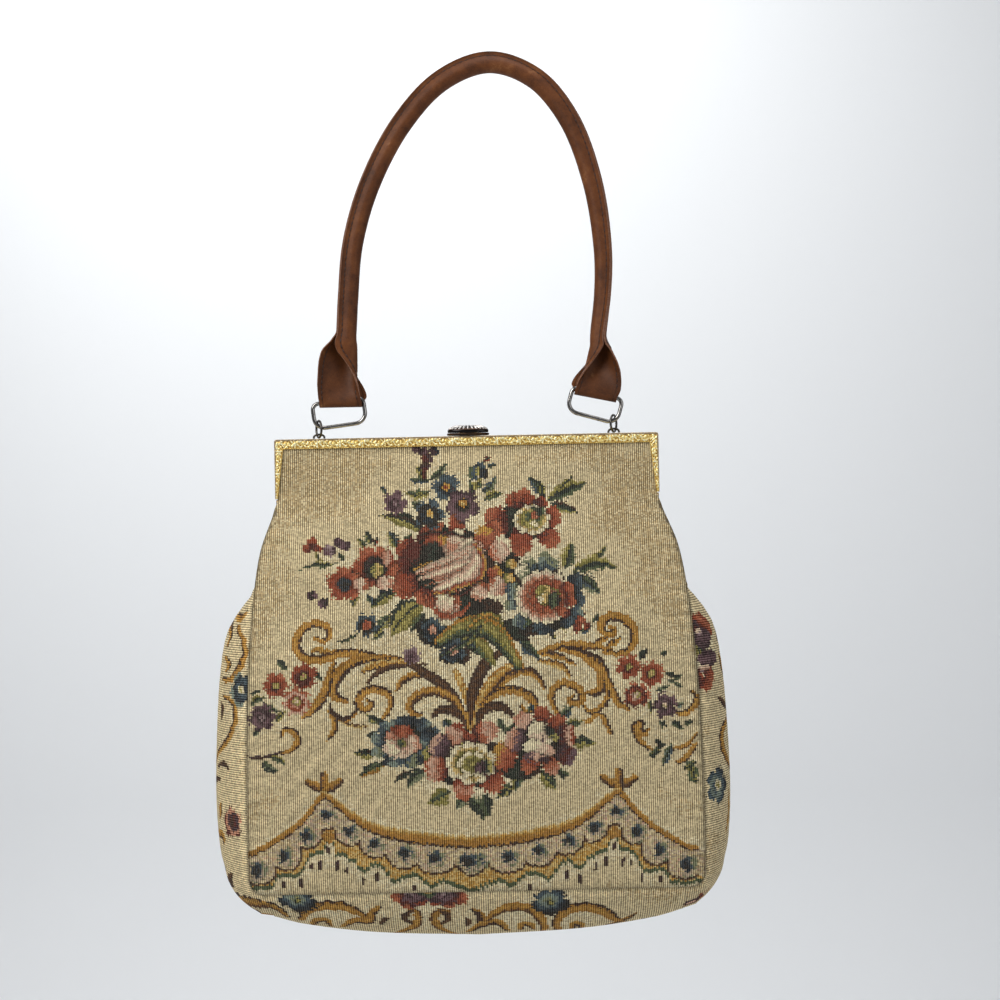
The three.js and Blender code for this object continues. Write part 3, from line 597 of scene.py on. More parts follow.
class Chart:
    def __init__(self, x, y, seed, comb, ribAxis):
        draw = np.random.default_rng(seed)
        self.fleck = draw.random(x.shape)
        ribs = np.expand_dims(draw.random((2, x.shape[ribAxis])), 2 - ribAxis)
        self.x, self.y = x, y + (2 * ribs[0] - 1) * comb
        self.ribs = ribs[1]
        self.colour = np.zeros(x.shape + (3,))
        self.owner = np.zeros(x.shape, int)
        self.count = 0

    def spot(self, x, y):  # where a photo pixel falls on the chart
        return x, y

    def lay(self, where, shade, names, grain=1.0):  # shade 0 to 1 runs through the named threads
        found = tones(names)
        level = shade * len(found) + (self.fleck[where] - 0.5) * grain
        self.colour[where] = found[np.clip(level, 0, len(found) - 1).astype(int)]
        self.owner[where] = self.count

    def next(self):  # each motif has a number, so that those below it are shaded along its edge
        self.count += 1

    def shadeEdges(self, first):  # first is the number of the first motif that is shaded
        edge = np.zeros(self.owner.shape, bool)
        for axis in (0, 1):
            for step in (-1, 1):
                edge |= (self.owner >= first) & (np.roll(self.owner, step, axis) > self.owner)
        self.colour[edge] *= weaving["edge"]

    def layGround(self):  # paler close to the motifs
        free = self.owner == 0
        near = np.where(free, 0.0, 1.0)
        for _ in range(2):
            for axis, reach in enumerate(weaving["halo"]):
                near = sum(np.roll(near, k, axis) for k in range(-reach, reach + 1)) / (2 * reach + 1)
        base, byRib, byNear = weaving["groundShade"]
        shade = base + byRib * self.ribs + byNear * np.sqrt(near)
        self.lay(np.nonzero(free), shade[free], weaving["ground"], weaving["groundGrain"])
        self.colour *= 1 + weaving["uneven"] * (self.fleck[::-1, ::-1, None] - 0.5)

    def near(self, x, y, reach):
        where = np.nonzero((np.abs(self.x - x) < reach) & (np.abs(self.y - y) < reach))
        return where, self.x[where] - x, self.y[where] - y

    def keep(self, where, inside):
        return tuple(k[inside] for k in where)

    def ragged(self, where, size):  # stitches break up an outline, as far on a small motif as on a large one
        return 1 + min(weaving["raggedMost"], weaving["ragged"] / size) * (self.fleck[where] - 0.5)

    def petal(self, x, y, long, wide, turn, names):  # shade runs from one end to the other
        self.next()
        where, dx, dy = self.near(*self.spot(x, y), max(long, wide))
        along, across = rotated(dx, dy, -turn)
        along, across = along / long, across / wide
        far = along**2 + across**2
        inside = far < self.ragged(where, max(long, wide) / 2)
        darker, start = weaving["petalRim"]
        shade = 0.5 + 0.5 * along - darker * np.clip(far - start, 0, 1)
        self.lay(self.keep(where, inside), shade[inside], names)

    def bloom(self, x, y, radius, petals, turn, names, heart="", share=0.3, lobes=0.24, squash=1.0):
        self.next()
        where, dx, dy = self.near(*self.spot(x, y), radius * weaving["bloomReach"])
        dy = dy / squash
        far, angle = np.hypot(dx, dy), np.arctan2(-dy, dx)
        lobe = np.abs(np.cos(petals / 2 * (angle - math.radians(turn)))) ** weaving["lobePower"]
        edge = radius * (1 - lobes + lobes * lobe) * self.ragged(where, radius)
        inside = far < edge
        light = np.cos(angle - math.radians(weaving["lightFrom"]))
        byFar, byLobe, byLight = weaving["bloomShade"]
        shade = byFar * far / edge + byLobe * lobe + byLight * light
        self.lay(self.keep(where, inside), shade[inside], names)
        if heart:
            self.next()
            inside = far < radius * share
            self.lay(self.keep(where, inside), 1 - far[inside] / (radius * share), heart)

    def leaf(self, x0, y0, x1, y1, wide, bend, names):  # from its stalk to its tip, with a dark vein
        self.next()
        x0, y0 = self.spot(x0, y0)
        x1, y1 = self.spot(x1, y1)
        long = math.hypot(x1 - x0, y1 - y0)
        reach = long * weaving["leafReach"] + wide + abs(bend)
        where, dx, dy = self.near((x0 + x1) / 2, (y0 + y1) / 2, reach)
        dx, dy = dx + (x1 - x0) / 2, dy + (y1 - y0) / 2
        t = (dx * (x1 - x0) + dy * (y1 - y0)) / long**2
        off = (dy * (x1 - x0) - dx * (y1 - y0)) / long - bend * 4 * t * (1 - t)
        inner = np.clip(t, 0, 1)
        notch = weaving["notch"] * np.abs((inner * long / weaving["notchPitch"]) % 1 - 0.5)
        bow = np.sin(math.pi * inner ** weaving["leafPower"])
        half = wide / 2 * bow * (1 - notch) * self.ragged(where, wide / 2)
        inside = (t > 0) & (t < 1) & (np.abs(off) < half)
        shade = 0.5 + 0.5 * off[inside] / half[inside]
        self.lay(self.keep(where, inside), shade, names)
        rib = inside & (np.abs(off) < weaving["veinHalf"]) & (t < weaving["veinEnd"])
        self.lay(self.keep(where, rib), 0 * off[rib], weaving["vein"])

    def stroke(self, points, wide, names, start=0.5, end=0.5):  # names run from its left to its right
        self.next()
        line = curveThrough([self.spot(*p) for p in points])
        low, high = line.min(0), line.max(0)
        where = np.nonzero((self.x > low[0] - wide) & (self.x < high[0] + wide)
                           & (self.y > low[1] - wide) & (self.y < high[1] + wide))
        gap = np.stack([self.x[where], self.y[where]], axis=1)[:, None] - line[None]
        far = np.hypot(gap[..., 0], gap[..., 1])
        nearest = far.argmin(1)
        order = np.arange(len(nearest))
        way = unit(np.gradient(line, axis=0))[nearest]
        gap, far = gap[order, nearest], far[order, nearest]
        side = np.sign(way[:, 0] * gap[:, 1] - way[:, 1] * gap[:, 0])
        full = np.array((0, *weaving["strokeEnds"], 1))
        half = wide / 2 * np.interp(nearest / (len(line) - 1), full, (start, 1, 1, end))
        inside = far < half
        shade = (0.5 + 0.5 * side * far / half)[inside]
        self.lay(self.keep(where, inside), shade, names, weaving["strokeGrain"])

    def dash(self, x, y, wide, tall, names):
        self.next()
        where, dx, dy = self.near(*self.spot(x, y), tall)
        inside = (np.abs(dx) < wide / 2) & (np.abs(dy) < tall / 2)
        self.lay(self.keep(where, inside), self.fleck[where][inside], names)


# the pattern: a bouquet over gold scrolls, a second bouquet below, and a swag with lace and fringe

mirrored = dict(sum=943, tilt=0.0145)  # the lower swag is the same left and right


def flip(points):
    return [(mirrored["sum"] - x, y - mirrored["tilt"] * (mirrored["sum"] - 2 * x)) for x, y in points]


swag = dict(
    side=((246, 856), (250.5, 854), (263.5, 848.3), (274.6, 841.6), (285.8, 834.8), (297, 826), (308, 815),
        (317, 802.8), (324.3, 794.5)),
    middle=((323, 794), (331, 799), (341, 807.5), (353, 816.5), (364, 824), (375, 829), (386, 832.5),
        (400, 835), (420, 838.5), (446, 841), (471.5, 842)),
    scallop=((244, 882), (250, 884), (264, 884.3), (271, 881.5), (275, 876), (275.8, 867), (280, 869.5),
        (286, 870.6), (293, 869.5), (299, 864.5), (301.5, 856), (302.4, 846.8), (306, 849.3), (312, 848),
        (318, 845), (321.3, 840), (321.8, 831.5), (328, 829), (334.3, 830), (336, 838), (341, 842.6),
        (347, 844.9), (354, 845.3), (358, 843.5), (358.9, 840.8), (360, 848), (365, 853.8), (370, 856.6),
        (376, 857.8), (382, 857.4), (384.8, 855), (388.5, 860.5), (394, 866), (400, 868.5), (406, 868.5),
        (412, 867), (416, 864.8), (421, 869.5), (427, 872.5), (434, 874), (441, 873.7), (448, 871.3),
        (453, 867.5), (455.8, 864.7), (459, 869), (464, 873.2), (471.5, 876.3)),
    fringe=((244, 890), (262, 890), (273.5, 889.5), (276, 880), (278, 878.3), (283.6, 877.2),
        (292.5, 878.3), (297, 878.3), (301.4, 875), (303.7, 868.3), (307, 863.8), (309.2, 859.3),
        (314.8, 856), (322.6, 855), (324.9, 848.2), (327, 842.6), (332, 843), (333.8, 849.3), (335, 856),
        (341.6, 857), (346, 857), (348.3, 861.6), (352.8, 861.6), (356, 863.8), (357.8, 868.3),
        (361.7, 871.6), (365, 872.7), (368.4, 870.5), (370.6, 867), (374, 866), (382.9, 868.3),
        (385, 873.8), (389.6, 877.2), (390.7, 881.7), (395, 884), (401, 880), (408, 878), (415, 876.5),
        (423, 882), (430.7, 889), (436, 887), (442, 882.5), (448, 884.5), (454, 886.5), (460, 889),
        (465, 891.5), (472, 892)),
    tooth=4.6, toothHigh=2.2, hem=4.2, strand=13, piping=2.4, cord=6.4, lobe=9, band=13, bead=6.2, tassel=4,
    blossoms=table(
        "x y radius petals squash",
        (256.5, 870, 6.4, 3, 1.5), (283.7, 856, 5.6, 3, 1.4), (306, 836, 6, 4, 1.2),
        (326.3, 815, 6.4, 3, 0.8), (348.3, 830.5, 7, 3, 0.9), (374, 843.7, 6.8, 3, 0.85),
        (404.7, 852.4, 6.6, 4, 1), (434.8, 857.6, 7, 4, 0.95),
        (475, 860.6, 10, 5, 0.8)),
    tassels=((312, 866.6, 6), (320.6, 866, 9), (336.4, 865.5, 10), (347, 869.5, 7), (328.7, 850, 7),
        (283.3, 884.8, 7), (301, 883.5, 9), (363, 882, 9), (377, 877.5, 9), (413.5, 888.5, 7)),
    lobes=(
        ((308.5, 783), (315, 786.5), (323, 792)),
        ((324, 775), (324, 784), (324, 794)),
        ((325, 792), (333, 786.5), (340, 782)),
    ),
    drop=(328.5, 837),
)


def paintSwag(chart):
    x, y = chart.x, chart.y
    line = np.concatenate([curveThrough(swag["side"]), curveThrough(swag["middle"])])
    whole = [np.concatenate([part, flip(part[::-1])]) for part in (line, swag["scallop"], swag["fringe"])]
    top, low, edge = (np.interp(x, part[:, 0], part[:, 1]) for part in whole)
    edge = edge + swag["toothHigh"] * (2 * np.abs((x / swag["tooth"]) % 1 - 0.5) - 0.5)
    bands = (
        (top, low, "ground lace biscuit ground rose", 3.4),
        (low, edge, "amber straw amber gold", 2.0),
        (np.maximum(edge - swag["hem"], low + 2), edge, "bottle fern ink", 1.0),
        (edge, edge + swag["strand"] * (0.3 + 0.7 * chart.ribs), "cream ground cream", 2.0),
    )
    for start, stop, names, grain in bands:
        inside = (y > start) & (y < stop) & (y > top) & ((y > low + 1) | (stop is low))
        chart.next()
        chart.lay(np.nonzero(inside), 0.5 + 0 * y[inside], names, grain)
    chart.stroke(whole[1], swag["piping"], "umber brown", 1, 1)
    for turnOver in (list, flip):
        for k, flower in enumerate(swag["blossoms"]):
            bx, by = turnOver([(flower["x"], flower["y"])])[0]
            wide = flower["radius"]
            shape = dict(petals=flower["petals"], squash=flower["squash"], lobes=0.46)
            chart.bloom(bx + 2, by + 1.5, wide + 2.2, turn=20 + 40 * k, names="sage lace sage", **shape)
            chart.bloom(bx, by, wide, turn=70 + 50 * k, names="navy ink navy slate", **shape)
        for mark in swag["tassels"]:
            chart.dash(*turnOver([mark[:2]])[0], swag["tassel"], mark[2], "umber plum umber")
        step = 1 if turnOver is list else -1
        chart.stroke(turnOver(swag["side"])[::step], swag["cord"], "amber gold gold gold umber", 1, 0.8)
        for lobe in swag["lobes"]:
            chart.stroke(turnOver(lobe)[::step], swag["lobe"], "amber gold gold brown umber", 0.85, 0.85)
        chart.bloom(*turnOver([swag["drop"]])[0], swag["bead"], 8, 0, "amber gold gold", lobes=0.08)
    across = [*swag["middle"], *flip(swag["middle"][-2::-1])]
    chart.stroke(across, swag["band"], "straw amber gold gold gold umber", 0.46, 0.46)


scrolls = strokes(
    # left: curl, branch, C and its tails
    (8.5, "umber gold amber gold", (315, 639), (324, 641), (330, 635), (328, 628), (318.5, 624), (306, 627),
     (298.5, 636), (296.5, 645), (300, 654), (309, 659.5), (320, 660), (330, 657), (340, 653.5),
     (353, 652.5), (366, 654), (380, 657), (396, 658.5), (408, 662)),
    (6, "amber gold amber brown", (312, 653), (318, 650), (327, 652), (336, 651)),
    (11, "umber umber gold amber gold gold", (388, 658), (366, 659), (352, 663), (341, 672), (335, 682),
     (333, 690), (337, 698), (346, 700)),
    (9, "umber gold amber gold", (334, 664), (329, 678), (326, 690), (319, 703), (312, 712), (304, 717)),
    (6, "umber umber gold", (330, 704), (332, 713), (341, 719), (351, 717), (357, 711)),
    (6, "umber gold amber", (329, 712), (335, 722), (334, 731), (328, 740)),
    (3.4, "brown straw", (341, 721), (349, 724.5), (360, 726.5), (368, 726)),
    (8, "gold amber gold umber", (384, 717), (388.5, 711), (391, 703), (388, 694), (379, 690), (369, 690),
     (361, 695), (358.5, 703), (362, 708.5), (369, 708.5), (372, 704), (368, 700.5)),
    (8, "umber amber gold straw", (406, 662), (392, 663.5), (378.5, 665), (368, 668), (363, 672)),
    (5, "umber brown", (428, 664.5), (409.5, 665), (392, 667), (381, 671), (373, 677), (368, 683)),
    (7, "umber brown gold amber", (430, 676), (413, 676), (403, 680), (397, 690)),
    (10, "umber brown umber", (468, 729), (464, 718), (456, 702), (445.5, 687), (432, 677.5), (419, 669.5),
     (409, 664)),
    (9, "umber brown gold amber gold", (466, 719), (462, 712), (452, 699), (439, 692.5), (425.5, 692.5),
     (414, 699), (410, 706.5), (413.5, 713.5), (421, 714)),
    (8, "umber brown umber", (467, 727), (459, 715), (448, 709.5), (439, 711), (433, 717)),
    # middle stems
    (7, "amber straw gold", (470, 728), (470, 708), (464, 690), (458, 676), (455, 671)),
    (12, "umber brown umber", (472, 722), (472.5, 694), (480, 674), (489.5, 660), (502, 652)),
    (9, "gold straw amber gold", (474, 726), (481, 700), (491, 683), (504, 670), (517, 662)),
    # right fronds
    (8, "umber brown gold amber", (487, 702), (495, 691), (508, 677), (520.5, 671.5), (531, 672),
     (540, 679.5), (544, 687)),
    (9, "umber gold amber gold", (478, 715), (486, 702), (499, 692.5), (514, 690), (526, 694), (534, 702),
     (532.5, 710), (526, 711), (522, 707)),
    (9, "umber brown umber", (476, 727), (484, 711), (495, 706), (505, 708.5), (512, 715)),
    # right: branch, curl, C and tails
    (8, "gold amber gold brown", (537, 654), (549, 649.5), (568.5, 645), (582, 644.5), (595, 646.5),
     (610, 649)),
    (9, "umber gold amber gold", (605, 652), (618, 653.5), (629, 649.5), (635, 639), (633, 628), (624, 619),
     (613, 616), (604, 620), (602, 628), (606.5, 633.5), (613, 633), (614, 628.5), (609.5, 628)),
    (6, "umber gold amber", (594, 645), (601, 640.5), (607, 638.5)),
    (6, "umber gold amber", (606, 648), (613, 643), (620, 638)),
    (12, "umber umber gold amber gold", (562, 649), (577, 651.5), (590, 657.5), (600.5, 667), (604, 676),
     (603, 686), (596, 692.5), (590, 692)),
    (8, "umber gold amber gold", (604, 668), (609, 683), (614, 694), (620, 704), (628, 708)),
    (6, "umber gold amber", (540, 654), (554, 655.5), (565, 659), (575, 664)),
    (7, "umber gold amber straw", (540, 661), (554, 663.5), (564.5, 668.5), (570, 676)),
    (8, "gold amber gold umber", (558, 713), (554, 707), (551.5, 696.5), (555.5, 687.5), (566, 683.5),
     (577, 687.5), (582, 695), (579.5, 702), (573, 703), (569, 699.5), (573, 696.5)),
    (6, "gold amber umber", (583, 704), (588, 710), (596, 711), (603.5, 705.5), (608, 696), (608.5, 688)),
    (6, "umber amber gold", (598, 714), (604, 718), (607, 725), (612, 734)),
    (5, "gold amber gold", (584, 721), (591, 719), (597, 714)),
)

sprays = dict(
    under=strokes(
        (7, "umber gold amber gold", (282, 736), (284, 731), (292, 731), (297, 737), (297, 744), (290, 751),
         (281, 754)),
        (3.6, "umber plum", (282, 752), (270, 756), (258, 758), (244, 756)),
        (8, "gold amber gold umber", (648, 730), (645, 734), (639, 731), (641, 724), (636, 726), (637, 736),
         (643, 744), (652, 750)),
        (5, "amber gold brown", (668, 750), (680, 747), (690, 742), (697, 734)),
        (7, "gold amber gold umber", (677, 762), (685, 758), (692, 750), (697, 744)),
        (7, "umber amber gold", (670, 711), (680, 713), (690, 710), (696, 703), (697, 696), (692, 692)),
        (3.4, "bottle fern", (338, 642), (345, 640), (352, 637), (358, 634)),
        (3, "bottle fern", (300, 570), (312, 566), (324, 566), (338, 563)),
    ),
    blooms=table(
        "x y radius petals turn names heart share lobes",
        (276, 686, 13, 6, 0, "plum wine rust rust coral", "lime straw", 0.26, 0.28),
        (304, 677, 13.5, 6, 20, "plum wine wine rust rust", "lime salmon", 0.24, 0.28),
        (297, 702, 14.5, 7, 40, "wine salmon rust rose coral", "lime blush", 0.26, 0.32),
        (262, 718, 14, 6, 10, "ink plum mauve plum mauve", "lilac plum", 0.2, 0.32),
        (629, 667, 12.5, 6, 10, "wine wine rust rust coral", "lime olive", 0.26, 0.28),
        (652, 674, 13, 6, 30, "amber wine rust rust coral", "lime straw", 0.28, 0.28),
        (637, 695, 13.5, 7, 0, "wine rose rust wine coral", "lime blush", 0.26, 0.32),
        (665, 706, 13, 5, 30, "ink plum mauve plum mauve", "blush lime", 0.22, 0.32),
    ),
    leaves=table(
        "x0 y0 x1 y1 wide bend names",
        (277, 660, 288, 671, 7, 0, "bottle fern"), (313, 672, 322, 680, 7, 0, "bottle fern"),
        (250, 694, 262, 691, 5, 0, "bottle fern"), (250, 705, 266, 698, 7, -2, "olive fern"),
        (263, 703, 282, 712, 7, 2, "sage fern"), (276, 722, 286, 710, 7, 0, "olive lime"),
        (252, 736, 262, 730, 6, 0, "bottle sage"), (262, 762, 280, 771, 10, 3, "fern sage bottle"),
        (270, 757, 286, 766, 8, -2, "lime olive fern"), (639, 660, 648, 648, 7, 0, "bottle ink"),
        (670, 676, 683, 673, 6, 2, "bottle fern"), (668, 680, 684, 687, 6, 0, "fern sage"),
        (656, 692, 671, 686, 6, -1, "sage fern"), (650, 700, 651, 714, 6, 0, "lime olive"),
        (661, 656, 668, 650, 5, 0, "fern bottle"), (660, 721, 667, 728, 7, 0, "bottle fern"),
        (672, 722, 684, 728, 8, 0, "bottle fern"), (684, 720, 694, 724, 6, 0, "bottle fern"),
        (648, 758, 662, 742, 8, 2, "fern olive bottle"), (663, 766, 673, 742, 9, 0, "fern mist slate"),
        (655, 741, 667, 747, 6, 0, "bottle ink"), (666, 673, 677, 676, 5, 0, "bottle ink"),
        (684, 768, 698, 762, 9, 0, "fern lime olive"), (690, 764, 697, 786, 12, 0, "fern lime olive fern"),
        (676, 706, 684, 702, 6, 0, "sage mist"),
    ),
)

lowerBouquet = dict(
    leaves=table(
        "x0 y0 x1 y1 wide bend names",
        (385, 722, 366, 713, 9, -3, "fern lime bottle"), (380, 734, 365, 736, 7, 0, "fern bottle"),
        (377, 754, 353, 753, 11, 0, "olive lime umber bottle"),
        (385, 764, 358, 778, 12, 2, "gold olive fern bottle"), (411, 771, 394, 782, 8, 1, "bottle umber"),
        (425, 769, 407, 788, 14, 2, "sage fern bottle"),
        (450, 790, 427, 803, 18, -2, "olive lime fern olive"), (466, 796, 455, 810, 11, 0, "sage fern"),
        (467, 797, 484, 821, 15, -4, "sage fern bottle"), (484, 793, 489, 818, 12, 0, "bottle fern"),
        (514, 786, 496, 799, 13, 2, "bottle lime fern"),
        (525, 768, 515, 792, 16, 3, "fern slate lime olive"),
        (541, 771, 557, 791, 15, 0, "bottle fern lime olive"), (556, 769, 571, 778, 8, 1, "fern bottle"),
        (571, 745, 597, 744, 14, -3, "bottle fern lime olive"),
        (561, 718, 573, 705, 11, 0, "sage fern slate"), (566, 723, 584, 722, 9, 0, "olive fern"),
        (499, 718, 506, 734, 8, 0, "sage fern"), (507, 733, 516, 722, 8, 0, "fern bottle"),
        (532, 712, 530, 704, 9, 0, "fern slate"), (444, 719, 452, 727, 9, 0, "fern slate"),
    ),
    dark=((412, 742, 31, 22), (470, 762, 40, 26), (540, 742, 30, 24), (520, 768, 22, 12),
        (437, 748, 14, 16)),
    petals=table(
        "x y long wide turn names",
        # blue and pink flower
        (405, 722, 12, 7, 0, "slate navy navy"), (423, 725, 10, 7, -20, "navy slate mist"),
        (432, 733, 8, 7, 0, "navy ink slate"), (427, 740, 9, 9, 60, "mist slate navy"),
        (426, 755, 10, 8, 0, "slate lime navy"), (413, 761, 11, 7, 0, "slate sage navy"),
        (394, 760, 11, 7, 0, "navy mist slate"), (380, 740, 9, 8, 0, "mist slate navy"),
        (379, 752, 8, 6, 0, "mist sage slate"), (386, 727, 9, 6, 30, "slate mist"),
        (401, 742, 17, 15, 90, "blush rose salmon rust"), (392, 748, 9, 8, 30, "blush cream rose"),
        (412, 744, 9, 9, 0, "rose blush salmon"), (404, 731, 9, 6, 0, "rust coral rust"),
        (402, 743, 4.5, 4.5, 0, "fern bottle olive"),
        # middle rust flower
        (455, 737, 14, 12, 60, "wine salmon rose rust"), (484, 733, 15, 11, 20, "wine coral rose salmon"),
        (504, 756, 13, 15, 150, "rust coral amber"), (492, 781, 13, 12, -60, "wine rust coral"),
        (464, 785, 16, 11, -90, "wine rust salmon coral"),
        (437, 768, 13, 14, 180, "wine rust salmon rose coral"), (440, 746, 10, 12, 150, "plum mauve rose"),
        (470, 741, 8, 8, 90, "ink wine rust"),
        # right rose
        (542, 718, 13, 9, 90, "plum wine rust coral"), (556, 724, 11, 9, 50, "wine rust coral"),
        (566, 737, 10, 13, 0, "plum wine rose rust"), (566, 755, 10, 11, -30, "plum wine mauve"),
        (551, 765, 11, 8, -60, "wine coral salmon"), (531, 760, 14, 9, -110, "plum mauve rust coral"),
        (516, 739, 11, 12, 170, "plum mauve salmon rose"), (524, 722, 11, 9, 130, "plum rose salmon"),
        (539, 733, 12, 11, 110, "mauve blush cream cream"), (548, 740, 6, 5, 90, "cream blush"),
        (539, 749, 17, 8, -15, "cream cream blush rose"), (537, 757, 13, 4, -12, "mauve rose plum"),
        (551, 733, 9, 4.5, -50, "ink bottle lime"),
    ),
    blooms=table(
        "x y radius petals turn names heart share lobes",
        (471, 763, 20, 8, 20, "ink bottle olive lime", "olive lime", 0.5, 0.12),
    ),
    clusters=table(
        "x y wide high count start size names",
        (471, 763, 19, 15.5, 9, 0.3, 6.6, "olive straw cream cream"),
        (473, 764, 10, 8, 6, 0, 5.6, "olive lime cream cream"),
    ),
    hearts=table(
        "x y long wide turn names",
        (485, 767, 8, 7, 0, "ink plum bottle lime"), (478, 768, 4, 4, 0, "plum mauve"),
    ),
)

